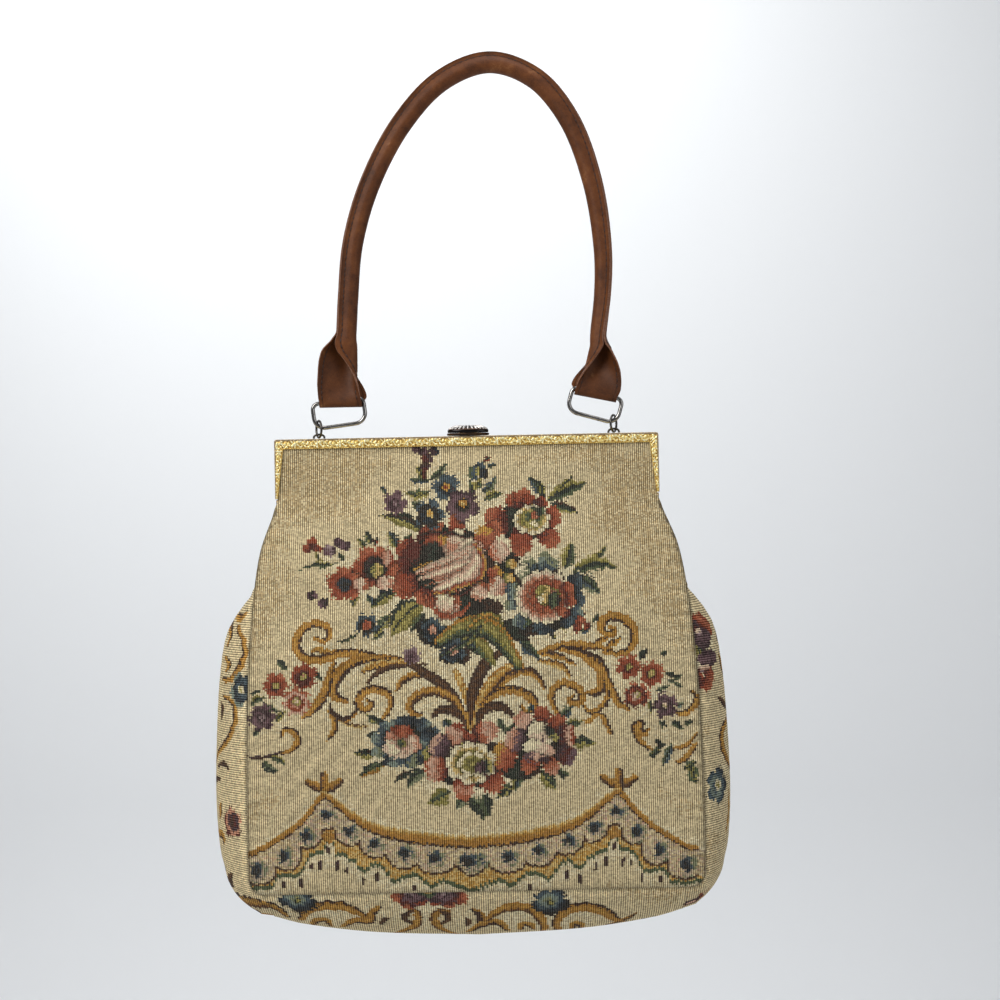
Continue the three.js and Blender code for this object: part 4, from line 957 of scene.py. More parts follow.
upperBouquet = dict(
    leaves=table(
        "x0 y0 x1 y1 wide bend names",
        (425, 478, 416, 466, 8, 0, "lime olive"), (430, 481, 408, 480, 7, 0, "slate fern"),
        (430, 480, 447, 462, 9, 2, "fern bottle sage"), (430, 492, 404, 492, 11, -3, "lime olive fern"),
        (412, 502, 424, 508, 9, 0, "sage fern"), (387, 493, 380, 486, 6, 0, "sage slate"),
        (477, 489, 481, 478, 9, 0, "lime fern"), (474, 492, 470, 480, 8, 0, "fern lime"),
        (482, 492, 496, 477, 10, 2, "slate fern sage"), (484, 500, 504, 494, 9, -3, "lime olive fern"),
        (487, 466, 497, 465, 5, 0, "slate fern"), (484, 462, 491, 456, 6, 0, "wine rust"),
        (424, 532, 378, 516, 14, 5, "olive lime umber bottle"),
        (372, 545, 365, 530, 8, 0, "fern lime bottle"), (366, 547, 358, 538, 7, 0, "olive fern"),
        (374, 545, 378, 537, 6, 0, "umber rust"), (400, 550, 388, 530, 12, 0, "lime fern slate bottle"),
        (404, 545, 412, 534, 9, 0, "fern slate"), (312, 565, 334, 564, 7, 0, "lime fern"),
        (344, 560, 338, 552, 6, 0, "bottle fern"), (320, 562, 316, 553, 5, 0, "olive lime"),
        (398, 590, 370, 609, 13, 2, "olive lime fern bottle"),
        (357, 592, 351, 608, 8, 0, "olive lime fern"), (367, 594, 372, 604, 6, 0, "slate fern"),
        (378, 588, 392, 593, 7, 0, "bottle navy"), (390, 614, 373, 637, 11, 0, "lime sage fern"),
        (384, 632, 372, 640, 6, 0, "sage lime"),
        (422, 602, 390, 636, 30, 3, "olive lime olive lime bottle"),
        (426, 612, 409, 634, 9, 0, "bottle fern"), (545, 500, 527, 476, 11, 2, "slate fern bottle"),
        (543, 497, 541, 483, 6, 0, "olive lime"), (547, 501, 589, 482, 15, -3, "lime olive bottle fern"),
        (560, 488, 574, 475, 6, 0, "olive lime"), (550, 503, 580, 513, 11, 0, "umber bottle fern lime"),
        (565, 569, 572, 540, 15, 0, "lime olive bottle fern"),
        (572, 571, 619, 569, 17, -7, "lime olive bottle fern"), (598, 557, 606, 546, 6, 0, "lime fern"),
        (573, 573, 601, 596, 15, -2, "bottle fern slate sage"),
        (506, 628, 532, 644, 13, 0, "umber bottle ink"), (520, 640, 540, 660, 12, 0, "fern bottle slate"),
        (545, 622, 556, 640, 9, 0, "lime fern bottle"), (552, 618, 566, 632, 7, 0, "lime olive"),
        (520, 618, 545, 632, 9, 0, "slate navy fern"), (580, 632, 592, 626, 6, 0, "fern slate"),
        (593, 622, 600, 614, 6, 0, "fern bottle"), (576, 620, 586, 612, 5, 0, "rust coral"),
        (480, 655, 455, 632, 9, 0, "bottle fern slate"),
    ),
    dark=((450, 566, 46, 40), (523, 521, 26, 20), (541, 590, 26, 26), (366, 572, 16, 14),
        (470, 608, 34, 12), (440, 636, 22, 12), (520, 628, 24, 10), (510, 570, 14, 20), (455, 655, 16, 10),
        (428, 628, 12, 10)),
    petals=table(
        "x y long wide turn names",
        # plum sprig
        (423, 452, 6, 5, 0, "plum mauve"), (434, 451, 5, 5, 0, "plum navy"),
        (427, 459, 6, 5, 0, "wine plum"), (425, 467, 4, 5, 90, "wine plum umber"),
        (425, 475, 2.5, 5, 0, "wine umber"), (416, 449, 4, 4, 0, "mauve plum"),
        # blue bud
        (480, 468, 6, 6, 40, "navy slate"), (484, 474, 5, 5, 0, "navy ink"),
        (474, 473, 6, 7, 0, "fern slate lime"),
        # rust flower
        (515, 500, 9, 9, 110, "wine rust coral"), (523, 498, 10, 9, 90, "wine rust coral"),
        (530, 502, 7, 8, 60, "wine rust rust"), (540, 504, 8, 7, 20, "plum wine rust"),
        (496, 518, 12, 12, 160, "wine rust coral"), (498, 528, 12, 8, 190, "wine coral rust"),
        (521, 541, 16, 11, -90, "wine rust rust coral"), (549, 537, 13, 10, -40, "wine rust coral"),
        (552, 517, 9, 11, 10, "wine rust rust coral"),
        # big rose, outer petals
        (411, 553, 16, 14, 150, "ink wine wine rust"), (401, 566, 9, 8, 190, "wine rust"),
        (405, 585, 13, 14, 200, "wine rust rust coral"), (427, 598, 9, 13, 240, "wine rust coral"),
        (457, 527, 17, 8, 90, "wine rust coral"), (430, 531, 15, 7, 30, "wine rust coral"),
        (485, 538, 12, 11, 100, "rust coral amber"), (499, 551, 10, 11, 20, "coral rose blush rose"),
        (495, 573, 8, 7, 20, "rust coral amber"), (479, 591, 10, 10, 240, "coral rose blush salmon"),
        (497, 586, 10, 10, -30, "coral blush rose salmon"),
        (447, 605, 22, 13, -95, "coral coral rose cream"),
        (445, 602, 17, 9, 80, "salmon blush cream straw"),
        # big rose, inside
        (457, 563, 30, 26, 30, "salmon rose blush rose"), (437, 541, 13, 6, 10, "rust coral amber"),
        (433, 554, 12, 11, 0, "ink bottle ink"), (456, 540, 12, 8, 60, "salmon blush cream"),
        (468, 546, 8, 7, 60, "blush cream"),
        # blue flower
        (528, 563, 9, 7, 120, "slate sage cream"), (544, 561, 10, 7, 90, "slate mist sage"),
        (552, 565, 8, 6, 40, "slate sage"), (575, 583, 8, 10, 0, "navy navy slate"),
        (577, 598, 8, 10, 0, "ink navy slate"), (576, 612, 8, 7, 0, "navy slate mist"),
        (564, 621, 11, 8, 0, "ink navy slate"), (546, 627, 14, 8, 0, "slate navy ink"),
        (522, 621, 10, 8, 0, "mist slate fern"), (511, 604, 7, 7, 0, "sage mist slate"),
        (512, 591, 7, 9, 0, "slate mist sage"), (522, 572, 8, 7, 140, "sage cream"),
        (567, 591, 7, 8, 0, "wine rust coral"), (566, 604, 7, 7, 0, "wine rust coral"),
        (511, 564, 6, 5, 0, "olive straw amber"), (509, 578, 6, 5, 0, "olive straw amber"),
        # red sprig at the right
        (581, 620, 6, 4, 0, "rust coral"), (577, 628, 4, 5, 0, "wine rust"),
        (587, 625, 4, 4, 0, "rust wine"),
        # small buds at the left
        (312, 543, 5, 6, 90, "wine rust rust"), (307, 549, 5, 4, 0, "rust wine"),
        (318, 549, 5, 4, 0, "wine rust"), (339, 543, 6, 5, 0, "plum mauve"),
        (345, 545, 6, 5, 0, "mauve plum"), (330, 551, 7, 6, 0, "mauve lilac plum"),
        (312, 596, 6, 4.5, 0, "plum ink mauve"), (323, 603, 6, 5, 30, "mauve plum ink"),
        # big lower leaf
        (478, 628, 26, 14, 15, "fern olive amber gold"), (492, 625, 12, 12, 60, "olive amber olive"),
        (468, 636, 16, 8, 30, "fern lime olive"),
    ),
    blooms=table(
        "x y radius petals turn names heart share lobes",
        (395, 503, 12, 5, 70, "plum plum mauve mauve", "mauve lilac", 0.25, 0.3),
        (446, 487, 14, 5, 30, "navy navy slate slate", "amber rust", 0.27, 0.34),
        (430, 514, 15, 5, 0, "navy navy ink slate", "straw amber", 0.26, 0.34),
        (463, 505, 17, 5, 54, "plum mauve mauve plum", "ink plum", 0.36, 0.32),
        (463, 503, 4.5, 4, 0, "straw gold", "", 0, 0.1),
        (375, 568, 23, 6, 60, "wine wine rust coral", "ink plum wine", 0.5, 0.28),
        (344, 584, 18, 5, 20, "wine rust rust coral", "navy ink", 0.38, 0.28),
        (532, 520, 15, 9, 0, "fern olive lime straw", "fern lime", 0.5, 0.1),
        (367, 625, 12, 5, 50, "navy ink slate", "coral rust", 0.4, 0.32),
        (433, 630, 12, 5, 20, "ink navy slate", "salmon rose", 0.36, 0.32),
        (454, 651, 13, 5, 50, "ink navy slate", "rose salmon", 0.34, 0.32),
        (412, 656, 9, 5, 0, "plum mauve lilac", "", 0, 0.2),
        (546, 596, 23, 12, 0, "wine rust salmon rose", "", 0, 0.1),
    ),
    clusters=table(
        "x y wide high count start size names",
        (532, 520, 14, 11, 11, 0.2, 4.6, "lime straw cream cream"),
        (544, 597, 22, 21, 13, 0, 6.6, "coral salmon blush cream"),
        (548, 596, 14, 12, 10, 0.4, 5.4, "olive rust coral rust"),
    ),
    over=strokes(
        (3.4, "ink wine", (421, 536), (434, 533), (452, 534), (468, 538)),
        (6, "amber brown amber", (415, 569), (424, 567), (436, 562)),
        (8, "lace rose blush salmon", (417, 572), (438, 564), (458, 555), (472, 545)),
        (2.2, "salmon lace", (421, 575), (440, 568), (458, 560)),
        (7, "rose blush cream rose", (420, 579), (441, 572), (462, 564), (481, 556)),
        (2.8, "coral salmon lace", (425, 586), (442, 580), (458, 572), (466, 564)),
        (13, "rose blush cream blush rose", (436, 590), (452, 583), (468, 574), (477, 562), (476, 550)),
        (5, "amber coral rust", (474, 543), (482, 556), (484, 567), (478, 580), (462, 585), (444, 592),
         (432, 592)),
        (3.4, "ink wine", (446, 593), (456, 595), (468, 590), (480, 580)),
        (5, "rust coral", (426, 596), (432, 608), (446, 616), (460, 614), (470, 604)),
        (21, "gold olive lime olive fern bottle", (440, 641), (455, 631), (470, 626), (486, 628),
         (499, 637), (509, 650), (519, 665)),
        (13, "olive lime olive fern", (476, 640), (485, 650), (493, 663)),
        (3.4, "bottle navy fern", (440, 655), (458, 648), (474, 634), (482, 624)),
        (5, "bottle fern", (532, 508), (538, 511), (538, 516)),
        (4, "olive amber gold", (467, 630), (478, 618), (490, 614), (500, 620)),
    ),
    hearts=table(
        "x y long wide turn names",
        (376, 570, 8, 7, 0, "bottle lime straw olive"), (536, 515, 5, 4, 30, "coral salmon"),
        (525, 519, 5, 7, 0, "olive lime fern"), (541, 512, 4.5, 4, 0, "bottle fern"),
        (532, 525, 7, 4, 0, "lime cream"), (543, 591, 8, 6, 0, "lime olive straw"),
        (545, 598, 8, 5, 20, "cream straw lime"), (554, 600, 6, 8, 0, "bottle fern ink"),
        (567, 588, 6, 7, 20, "wine rust coral"), (570, 600, 6, 6, 0, "wine rust coral"),
        (564, 612, 6, 6, -30, "rust coral wine"), (385, 583, 9, 7, 0, "rose blush salmon"),
        (361, 584, 8, 7, 0, "rose blush coral"), (388, 558, 6, 8, 0, "salmon rose rust"),
    ),
)


def paintGroup(chart, group):
    for mark in group.get("under", ()):
        chart.stroke(mark["points"], mark["wide"] * group.get("spread", 1), mark["names"])
    for leaf in group.get("leaves", ()):
        chart.leaf(**leaf)
    for x, y, long, wide in group.get("dark", ()):
        chart.petal(x, y, long, wide, 0, weaving["dark"])
    for petal in group.get("petals", ()):
        chart.petal(**petal)
    for bloom in group.get("blooms", ()):
        chart.bloom(**bloom)
    for ring in group.get("clusters", ()):
        for turn in fullTurn(ring["count"]) + ring["start"]:
            x, y = ring["x"] + ring["wide"] * math.cos(turn), ring["y"] - ring["high"] * math.sin(turn)
            chart.petal(x, y, ring["size"], ring["size"], math.degrees(turn), ring["names"])
    for mark in group.get("over", ()):
        chart.stroke(mark["points"], mark["wide"], mark["names"])
    for petal in group.get("hearts", ()):
        chart.petal(**petal)


def paintPanel(chart):
    paintSwag(chart)
    for mark in scrolls:
        chart.stroke(mark["points"], mark["wide"] * weaving["spread"], mark["names"])
    first = chart.count + 1
    for group in (sprays, lowerBouquet, upperBouquet):
        paintGroup(chart, group)
    chart.shadeEdges(first)


def tapestryFinish(name):
    cloth = Finish(name, Roughness=0.92, Specular_IOR_Level=0.08)
    across, along = cloth.uv("weave")
    thread = cloth.attribute("thread")
    fibre = cloth.noise(2600, 2, 0.7)
    slub = cloth.noise(520, 2)
    rib = abs(across.fraction() - 0.5) * 2  # 0 on a rib's crest, 1 in the groove
    stitch = abs(along.fraction() - 0.5) * 2
    # painted shadow: the base colour is darkened in each rib's groove
    groove = rib.within(0.34, 0.88) * (0.66 + slub * 0.62)
    shadow = cloth.tint(0.92, thread, weaving["shadow"], "MULTIPLY")
    worn = cloth.tint(fibre.within(0.35, 0.8) * 0.22, thread, weaving["worn"])
    cloth.feed("Base Color", cloth.tint(groove * 0.94, worn, shadow))
    height = (1 - rib**2.2) + fibre * 0.25 - stitch**3 * 0.18
    cloth.bump(height, 0.35 * mm, 0.7)
    return cloth.material


tapestry = tapestryFinish("tapestry")


def makePanel(side, name, node):
    drops = panelRows()[:, None]
    reach = math.ceil(column(panel["sections"], "half").max() / panel["rib"])
    ribs = np.arange(-reach, reach + 1)[None] * panel["rib"]
    points = panelSurface(ribs, drops, side)
    seen = toPhoto(cellMiddles(points) * (1, side * -1, 1))
    chart = Chart(*seen, seed=panel["seed"], comb=panel["comb"], ribAxis=1)
    paintPanel(chart)
    chart.layGround()
    # painted shade: the cloth's colour darkens along its sewn sides and, less, along its bottom seam
    dropMiddles, ribMiddles = (drops[:-1] + drops[1:]) / 2, (ribs[:, :-1] + ribs[:, 1:]) / 2
    fromSide = panelHalf(dropMiddles) - np.abs(ribMiddles)
    fromSide = np.where(dropMiddles > panel["sewnFrom"], fromSide, farOff)
    shade = seamShade(fromSide, panel["shade"]) * seamShade(panel["bottom"] - dropMiddles, panel["lowShade"])
    chart.colour *= shade[..., None]
    mesh = loft(name, points)
    layUv(mesh, "weave", points[..., 0] / panel["rib"], np.arange(len(drops))[:, None] + 0 * points[..., 0])
    layColour(mesh, "thread", chart.colour if side < 0 else chart.colour[:, ::-1])
    rows, columns = (np.linspace(start, 1, count) for start, count in zip((0, -1), panel["lining"]))
    coarse = np.interp(rows, np.linspace(0, 1, len(drops)), drops[:, 0])[:, None]
    tidyMesh(mesh, lining=lined(panelSurface(columns[None] * panelHalf(coarse), coarse, side)))
    return piece(mesh, [tapestry], "tapestry", node)


frontCloth = makePanel(-1, "front_cloth", "front_panel")
backCloth = makePanel(1, "back_cloth", "back_panel")
for cloth, metal in ((frontCloth, "frame_front"), (backCloth, "frame_back")):
    reportCloth(cloth)

# gusset: one strip down a side, under the bottom and up the other side, its ribs running front to back

gusset = dict(
    cut=(0.1, 0.66), cutArea=0.052, rib=1.25, stitch=0.9, lining=(110, 15), seed=11, comb=0.3,
    start=40, bulge=2.2, endEase=12, belowFrom=-1.4, lowEdge=0.01, hidden=1e6, fineSteps=161,
    borderSteps=(200, 24, 300),
    # painted light: light and sideLight brighten the strip's colour, its sides more, and glow is a painted
    # highlight just off each seam
    light=1.04, sideLight=0.08, glow=0.22, glowFrom=3, glowReach=2.4, shadePace=1.3,
    sideSwell=table(
        "drop swell",
        (42, -1.2), (54, -3.2), (66, -3.4), (78, -1.2), (88, 3.2), (98, 10), (110, 15.5), (130, 18.2),
        (160, 19.6), (200, 20.2), (228, 18.6), (240, 16), (246, 14.8), (248.2, 16), (249, 18.4),
    ),
    bottomSwell=table("across swell", (0, 31.8), (58, 29.2), (98, 23.6), (116, 18.4)),
)

sideSwell = reading(gusset["sideSwell"], "drop", "swell")
bottomSwell = reading(gusset["bottomSwell"], "across", "swell")


def gussetBorder():  # the sewn edge as x and drop, one point for each rib
    downSteps, turnSteps, lowSteps = gusset["borderSteps"]
    down = np.linspace(gusset["start"], panel["cornerDrop"], downSteps)
    turn = np.linspace(0, math.pi / 2, turnSteps)[1:]
    bend = panel["cornerDrop"] + panel["corner"] * np.sin(turn)
    inset = panel["corner"] * (1 - np.cos(turn))
    left = np.concatenate([np.stack([-halfAt(down), down], 1), np.stack([inset - halfAt(bend), bend], 1)])
    across = np.linspace(left[-1, 0], -left[-1, 0], lowSteps)[1:-1]
    low = np.stack([across, np.full(len(across), panel["bottom"])], 1)
    line = np.concatenate([left, low, left[::-1] * (-1, 1)])
    length = lengthAlong(line)[-1]
    at = np.linspace(0, length, round(length / gusset["rib"]) + 1)
    return placedAlong(line, at), at


def gussetRibs(line):  # where each rib starts, how deep it is, which way it swells and how far
    x, drop = line.T
    seam = panelSurface(x, drop, -1)
    along = np.gradient(seam[:, (0, 2)], axis=0)
    outward = unit(np.stack([along[:, 1], 0 * x, -along[:, 0]], axis=1))
    side = sideSwell(drop) - leanAt(drop) * outward[:, 0]
    swell = np.where(drop < panel["bottom"] - gusset["lowEdge"], side, bottomSwell(np.abs(x)))
    return seam, outward, swell


def gussetPoints(seam, outward, swell, w):  # w runs from -1 at the front seam to 1 at the back one
    rise = swell[:, None] * (1 - np.abs(w) ** gusset["bulge"])
    points = seam[:, None] * (1, 0, 1) + outward[:, None] * rise[..., None]
    points[..., 1] = -w * seam[:, 1:2]
    return points


class StripChart(Chart):  # motifs are placed by photo pixels on the front half and mirrored to the back
    def __init__(self, along, across, front, **settings):
        scale = view["mmPerPixel"]
        super().__init__(along / scale, np.abs(across) / scale, **settings)
        self.seen = front

    def spot(self, x, y):
        px, py = self.seen
        at = np.unravel_index(np.argmin((px - x) ** 2 + (py - y) ** 2), px.shape)
        return self.x[at], self.y[at]


gussetPattern = dict(
    spread=1.25,
    under=strokes(
        # left side
        (6, "gold amber brown umber", (232, 611), (232.5, 622), (231, 634), (228, 646)),
        (8, "amber gold umber", (237, 617), (242, 618), (246, 612)),
        (7, "umber gold amber gold", (238, 627), (244, 643), (244, 658), (238.5, 669), (231, 680),
         (223, 680)),
        (6, "gold amber umber", (225, 658), (229, 664), (226, 671)),
        (6, "umber gold amber", (224, 696), (232, 703), (235.5, 714), (233.5, 727), (226.5, 741),
         (218.5, 753), (216, 762)),
        (5, "umber brown", (221, 702), (223, 710), (221, 719)),
        (4, "umber brown", (218, 766), (224, 763), (229, 769)),
        (5, "brown umber", (217, 780), (221, 778)),
        (7, "gold amber brown", (221, 803), (221, 810), (220, 817)),
        (7, "umber gold amber", (220, 831), (223, 836), (224, 843)),
        (4, "umber brown", (225, 866), (226, 870)),
        (5, "brown umber", (233, 873), (230, 880), (227, 883)),
        # right side
        (8, "umber gold brown", (717, 622), (717.5, 630), (717, 639)),
        (8, "umber gold amber", (719, 655), (721, 664), (723, 673)),
        (6, "umber brown", (719, 699), (724, 704), (727, 708)),
        (8, "umber gold amber gold", (728, 714), (722.5, 732), (723, 750), (729, 774)),
        (5, "gold amber", (729, 790), (728, 812), (726, 832)),
        # bottom
        (10, "brown gold amber umber", (236, 900), (250, 901), (264, 904), (278, 909.5), (288, 916)),
        (7, "umber gold", (256, 911), (268, 914), (279, 919)),
        (11, "gold amber gold umber", (302, 919), (306, 911.5), (316, 906), (329, 904.5), (343, 906),
         (357, 911), (369, 919)),
        (8, "umber gold amber", (312, 925), (318, 920.5), (326, 920.5), (331, 926)),
        (9, "umber gold amber gold", (343, 926), (352, 921.5), (362, 920.5), (369, 921), (372, 913),
         (379, 907)),
        (5, "umber brown", (381, 924), (385, 919.5), (388, 918)),
        (7, "gold amber gold brown", (409, 911), (416, 911.5), (419, 917), (416, 925), (407, 930),
         (390, 933)),
        (6, "umber brown", (413, 911), (406, 914.5), (405.5, 919), (411, 923)),
        (7, "brown gold amber gold", (449, 911), (440, 911.5), (435, 917), (437, 925), (446, 931),
         (466, 934)),
        (6, "umber brown", (440, 911), (447, 914.5), (447.5, 919), (442, 923)),
        (5, "umber brown", (466, 918), (468.5, 922), (467, 926)),
        (8, "umber umber gold", (472, 909.5), (480, 914.5), (482.5, 921), (479, 928)),
        (9, "umber gold amber", (470, 931), (480, 925.5), (491.5, 922), (501.5, 924), (508, 930)),
        (10, "brown gold amber gold", (486, 920), (493, 914), (506, 908), (520, 906.5), (531.5, 909),
         (540, 916.5), (544.5, 925), (543, 930)),
        (8, "umber gold amber", (520, 929), (524, 924.5), (530, 924.5), (534, 929)),
        (11, "gold amber gold umber", (560, 928), (558, 921), (563, 913), (576, 908), (592.5, 908),
         (606, 913), (616, 919), (624, 921)),
        (8, "umber gold amber", (569, 927), (574, 923.5), (580, 924.5), (583, 928)),
        (6, "umber gold", (598, 926), (611, 924), (622, 920.5), (629, 917), (636, 913)),
        (5, "umber brown", (642, 919), (646, 919)),
    ),
    leaves=table("x0 y0 x1 y1 wide bend names", (698, 641, 700, 661, 14, -2, "lime olive bottle")),
    petals=table(
        "x y long wide turn names",
        (251.5, 588, 6.5, 6, 0, "rust wine"), (236, 605, 4, 5, 0, "brown biscuit"),
        # half of a flower at the right seam
        (695, 624, 9, 9, 0, "wine plum rust"), (704, 623, 9, 14, 45, "wine rust coral rust"),
        (704, 639, 10, 14, 0, "plum mauve plum"), (698, 631, 3, 5, 0, "lilac blush"),
        (707, 658, 9, 16, 0, "plum mauve plum"), (704, 669, 4, 10, 0, "lilac rose blush"),
        (700, 678, 7, 10, 90, "plum wine rust"), (709, 680, 8, 13, 135, "wine rust coral"),
        # half of a flower at the bottom seam
        (402, 897, 12, 10, 160, "mauve plum wine rust coral"),
        (455, 897, 12, 10, 20, "mauve plum wine rust coral"),
        (411, 900, 12, 9, 110, "lilac plum mauve wine coral"),
        (446, 900, 12, 9, 70, "lilac plum mauve wine coral"), (421, 898, 11, 8, 90, "plum mauve plum rust"),
        (436, 898, 11, 8, 90, "plum mauve plum rust"), (428.5, 894, 9, 4, 0, "bottle fern bottle"),
        (428.5, 892, 3, 2, 0, "amber straw"),
    ),
    blooms=table(
        "x y radius petals turn names heart share lobes",
        (241, 689, 17, 5, 0, "ink navy slate navy mist", "cream lime", 0.26, 0.3),
        (232, 822, 15, 5, 30, "ink wine plum salmon wine", "umber plum", 0.22, 0.26),
        (718, 784, 18, 5, 20, "navy slate mist slate navy", "cream lime", 0.28, 0.3),
        (297, 901, 19, 5, 90, "lime sage mist slate navy ink", "bottle lime", 0.2, 0.24),
        (551, 902, 19, 5, 90, "lime sage mist slate navy ink", "bottle lime", 0.2, 0.28),
        (678, 906, 8, 4, 0, "wine plum wine rust", "rose", 0.2, 0.2),
        (690, 902, 8, 4, 30, "wine plum wine rust", "rose", 0.2, 0.2),
    ),
)


def makeGusset():
    line, at = gussetBorder()
    seam, outward, swell = gussetRibs(line)
    fine = np.linspace(-1, 1, gusset["fineSteps"])[None] + 0 * at[:, None]
    length = np.stack([lengthAlong(curve) for curve in gussetPoints(seam, outward, swell, fine)])
    half = length[:, -1:] / 2
    reach = math.ceil(length[:, -1].max() / 2 / gusset["stitch"])
    arc = np.arange(-reach, reach + 1) * gusset["stitch"]
    w = np.stack([np.interp(arc, one - one[-1] / 2, row) for one, row in zip(length, fine)])
    points = gussetPoints(seam, outward, swell, w)
    away = np.clip(half - np.abs(arc), 0, farOff)
    ripple = panel["pucker"] * np.sin(2 * math.pi * at / panel["puckerPitch"])[:, None]
    ends = smooth(at, 0, gusset["endEase"]) * smooth(at[-1] - at, 0, gusset["endEase"])
    points = points + outward[:, None] * (ripple * puckerFade(away) * ends[:, None])[..., None]
    middles = cellMiddles(points)
    px, py = toPhoto(middles)
    px = px + np.where(middles[..., 1] > 0, gusset["hidden"], 0)
    arcs = np.clip(arc[None], -half, half)
    arcMiddles = (arcs[:-1, :-1] + arcs[1:, 1:]) / 2
    alongMiddles = ((at[:-1] + at[1:]) / 2)[:, None] + 0 * arcMiddles
    settings = dict(seed=gusset["seed"], comb=gusset["comb"], ribAxis=0)
    chart = StripChart(alongMiddles, arcMiddles, (px, py), **settings)
    paintGroup(chart, gussetPattern)
    chart.layGround()
    # painted light and shade on the strip's colour: brightened overall and more on the sides, a painted
    # highlight a little off each seam, and painted shade in the seam
    below = outward[:-1, 2] + outward[1:, 2] < gusset["belowFrom"]
    fromSeam = np.clip(half[1:] - np.abs(arcMiddles), 0, farOff)
    ridgeHighlight = np.exp(-(((fromSeam - gusset["glowFrom"]) / gusset["glowReach"]) ** 2))
    light = gusset["light"] + gusset["glow"] * ridgeHighlight + gusset["sideLight"] * ~below[:, None]
    depth = np.where(below, panel["lowShade"], panel["shade"])[:, None]
    chart.colour *= (light * seamShade(gusset["shadePace"] * fromSeam, depth))[..., None]
    mesh = loft("gusset_cloth", points)
    pick = np.repeat(below, 4 * (points.shape[1] - 1))
    acrossX, acrossZ = points[..., 0] / gusset["rib"], points[..., 2] / gusset["rib"]
    layUv(mesh, "weave", acrossZ, arcs / gusset["stitch"], acrossX, pick)
    layColour(mesh, "thread", chart.colour)
    ribs, stitches = gusset["lining"]
    some = np.linspace(0, len(at) - 1, ribs).round().astype(int)
    coarse = np.linspace(-1, 1, stitches)[None] + 0 * at[some, None]
    tidyMesh(mesh, lining=lined(gussetPoints(seam[some], outward[some], swell[some], coarse)))
    return piece(mesh, [tapestry], "tapestry", "gusset")


gussetCloth = makeGusset()
reportCloth(gussetCloth)

# gilt frame: two channels with a stamped face

gilt = dict(
    half=108, face=5.6, depth=4.4, wall=0.8, gap=0.2, leg=33.5, corner=1.6, innerCorner=0.8, turn=6.1,
    step=0.4, across=19, proud=0.55, unit=12.65, firstBar=4.9, bar=0.6, vine=0.75, vineSway=0.9,
    vineHalf=0.4, rim=0.45, rimRows=4, rimLevel=0.3, rimDrop=0.3, backLevel=0.55, sharp=62,
    rimEase=(0.6, 1.5), proudOver=0.3, dropOver=0.35, insetMost=0.6, lip=0.02, cornerSteps=9, leastScale=0.3,
    rosetteEdge=(0.72, 0.28), rosetteCup=(0.55, 0.45, 0.3),
    seed=5, grain=0.9, grainFrom=-0.16, grainTo=0.1,
    # tones run from dark brown, painted shade in the stamping's recesses, to near white, painted glints on
    # its raised places
    tones=((0.1, (110, 74, 30)), (0.32, (214, 168, 80)), (0.55, (255, 230, 140)), (0.8, (255, 252, 214))),
    patches=(200, 150, 76), rimColour=(164, 142, 108),
    leaves=table(
        "u v long wide turn",
        (-4.9, 1.1, 1.3, 0.55, 55), (-4.4, -0.6, 1.2, 0.5, -40), (-3.2, 1.5, 1.1, 0.45, 10),
        (-2.9, -1.5, 1.2, 0.5, 25), (-1.4, 0.3, 1.4, 0.5, -65), (-0.6, 1.6, 1.0, 0.45, 30),
        (-0.3, -1.4, 1.2, 0.5, -20), (0.9, 0.4, 1.3, 0.55, 60), (1.6, -1.6, 1.0, 0.45, 5),
        (4.6, 1.3, 1.1, 0.5, -50), (4.9, -1.2, 1.2, 0.5, 45), (5.4, 0.2, 0.8, 0.4, 0),
    ),
    rosettes=table("u v radius petals", (3.0, 0.1, 1.45, 6), (-2.6, 0.1, 0.8, 5)),
    stud=dict(x=1, y=-2.4, radius=0.9, tip=0.9, top=1.2, long=1.7, sides=20),
    ear=dict(
        near=4.0, thick=1.1, pinY=7.4, pinZ=1.5, pin=0.55, pinOver=0.6, pinSides=16,
        outline=(
            (3.9, -3), (4.5, -3), (8.3, 0.5), (8.7, 1.4), (8.3, 2.4), (7.4, 2.75), (6.5, 2.4), (6.1, 1.5),
            (5.5, 0), (3.9, -0.3),
        ),
    ),
)


def roundedCorner(start, corner, end, radius, count):  # a bent line with a round corner, evenly spaced
    start, corner, end = (np.array(p, float) for p in (start, corner, end))
    first, last = corner + radius * unit(start - corner), corner + radius * unit(end - corner)
    s = np.linspace(0, 1, gilt["cornerSteps"])[:, None]
    bend = (1 - s) ** 2 * first + 2 * s * (1 - s) * corner + s**2 * last
    line = np.concatenate([[start], bend, [end]])
    return placedAlong(line, np.linspace(0, lengthAlong(line)[-1], count))


def frameStations():  # outer and inner edge of the face, from the left leg's foot to the right one's
    half, face, turn, step = gilt["half"], gilt["face"], gilt["turn"], gilt["step"]
    z = np.arange(-gilt["leg"], -turn - step, step)
    leg = np.stack([0 * z - half, z], 1), np.stack([legWidth(-z) - half, z], 1)
    count = round(2 * turn / step)
    low, high = (-half, -turn - step), (-half + turn, 0)
    outer = roundedCorner(low, (-half, 0), high, gilt["corner"], count)
    low, high = (legWidth(turn + step) - half, -turn - step), (-half + turn, -face)
    inner = roundedCorner(low, (-half + panel["legTop"], -face), high, gilt["innerCorner"], count)
    x = np.arange(-half + turn + step, half - turn - step / 2, step)
    top = np.stack([x, 0 * x], 1), np.stack([x, 0 * x - face], 1)
    left = [np.concatenate([a, b]) for a, b in zip(leg, (outer, inner))]
    return [np.concatenate([a, b, a[::-1] * (-1, 1)]) for a, b in zip(left, top)]


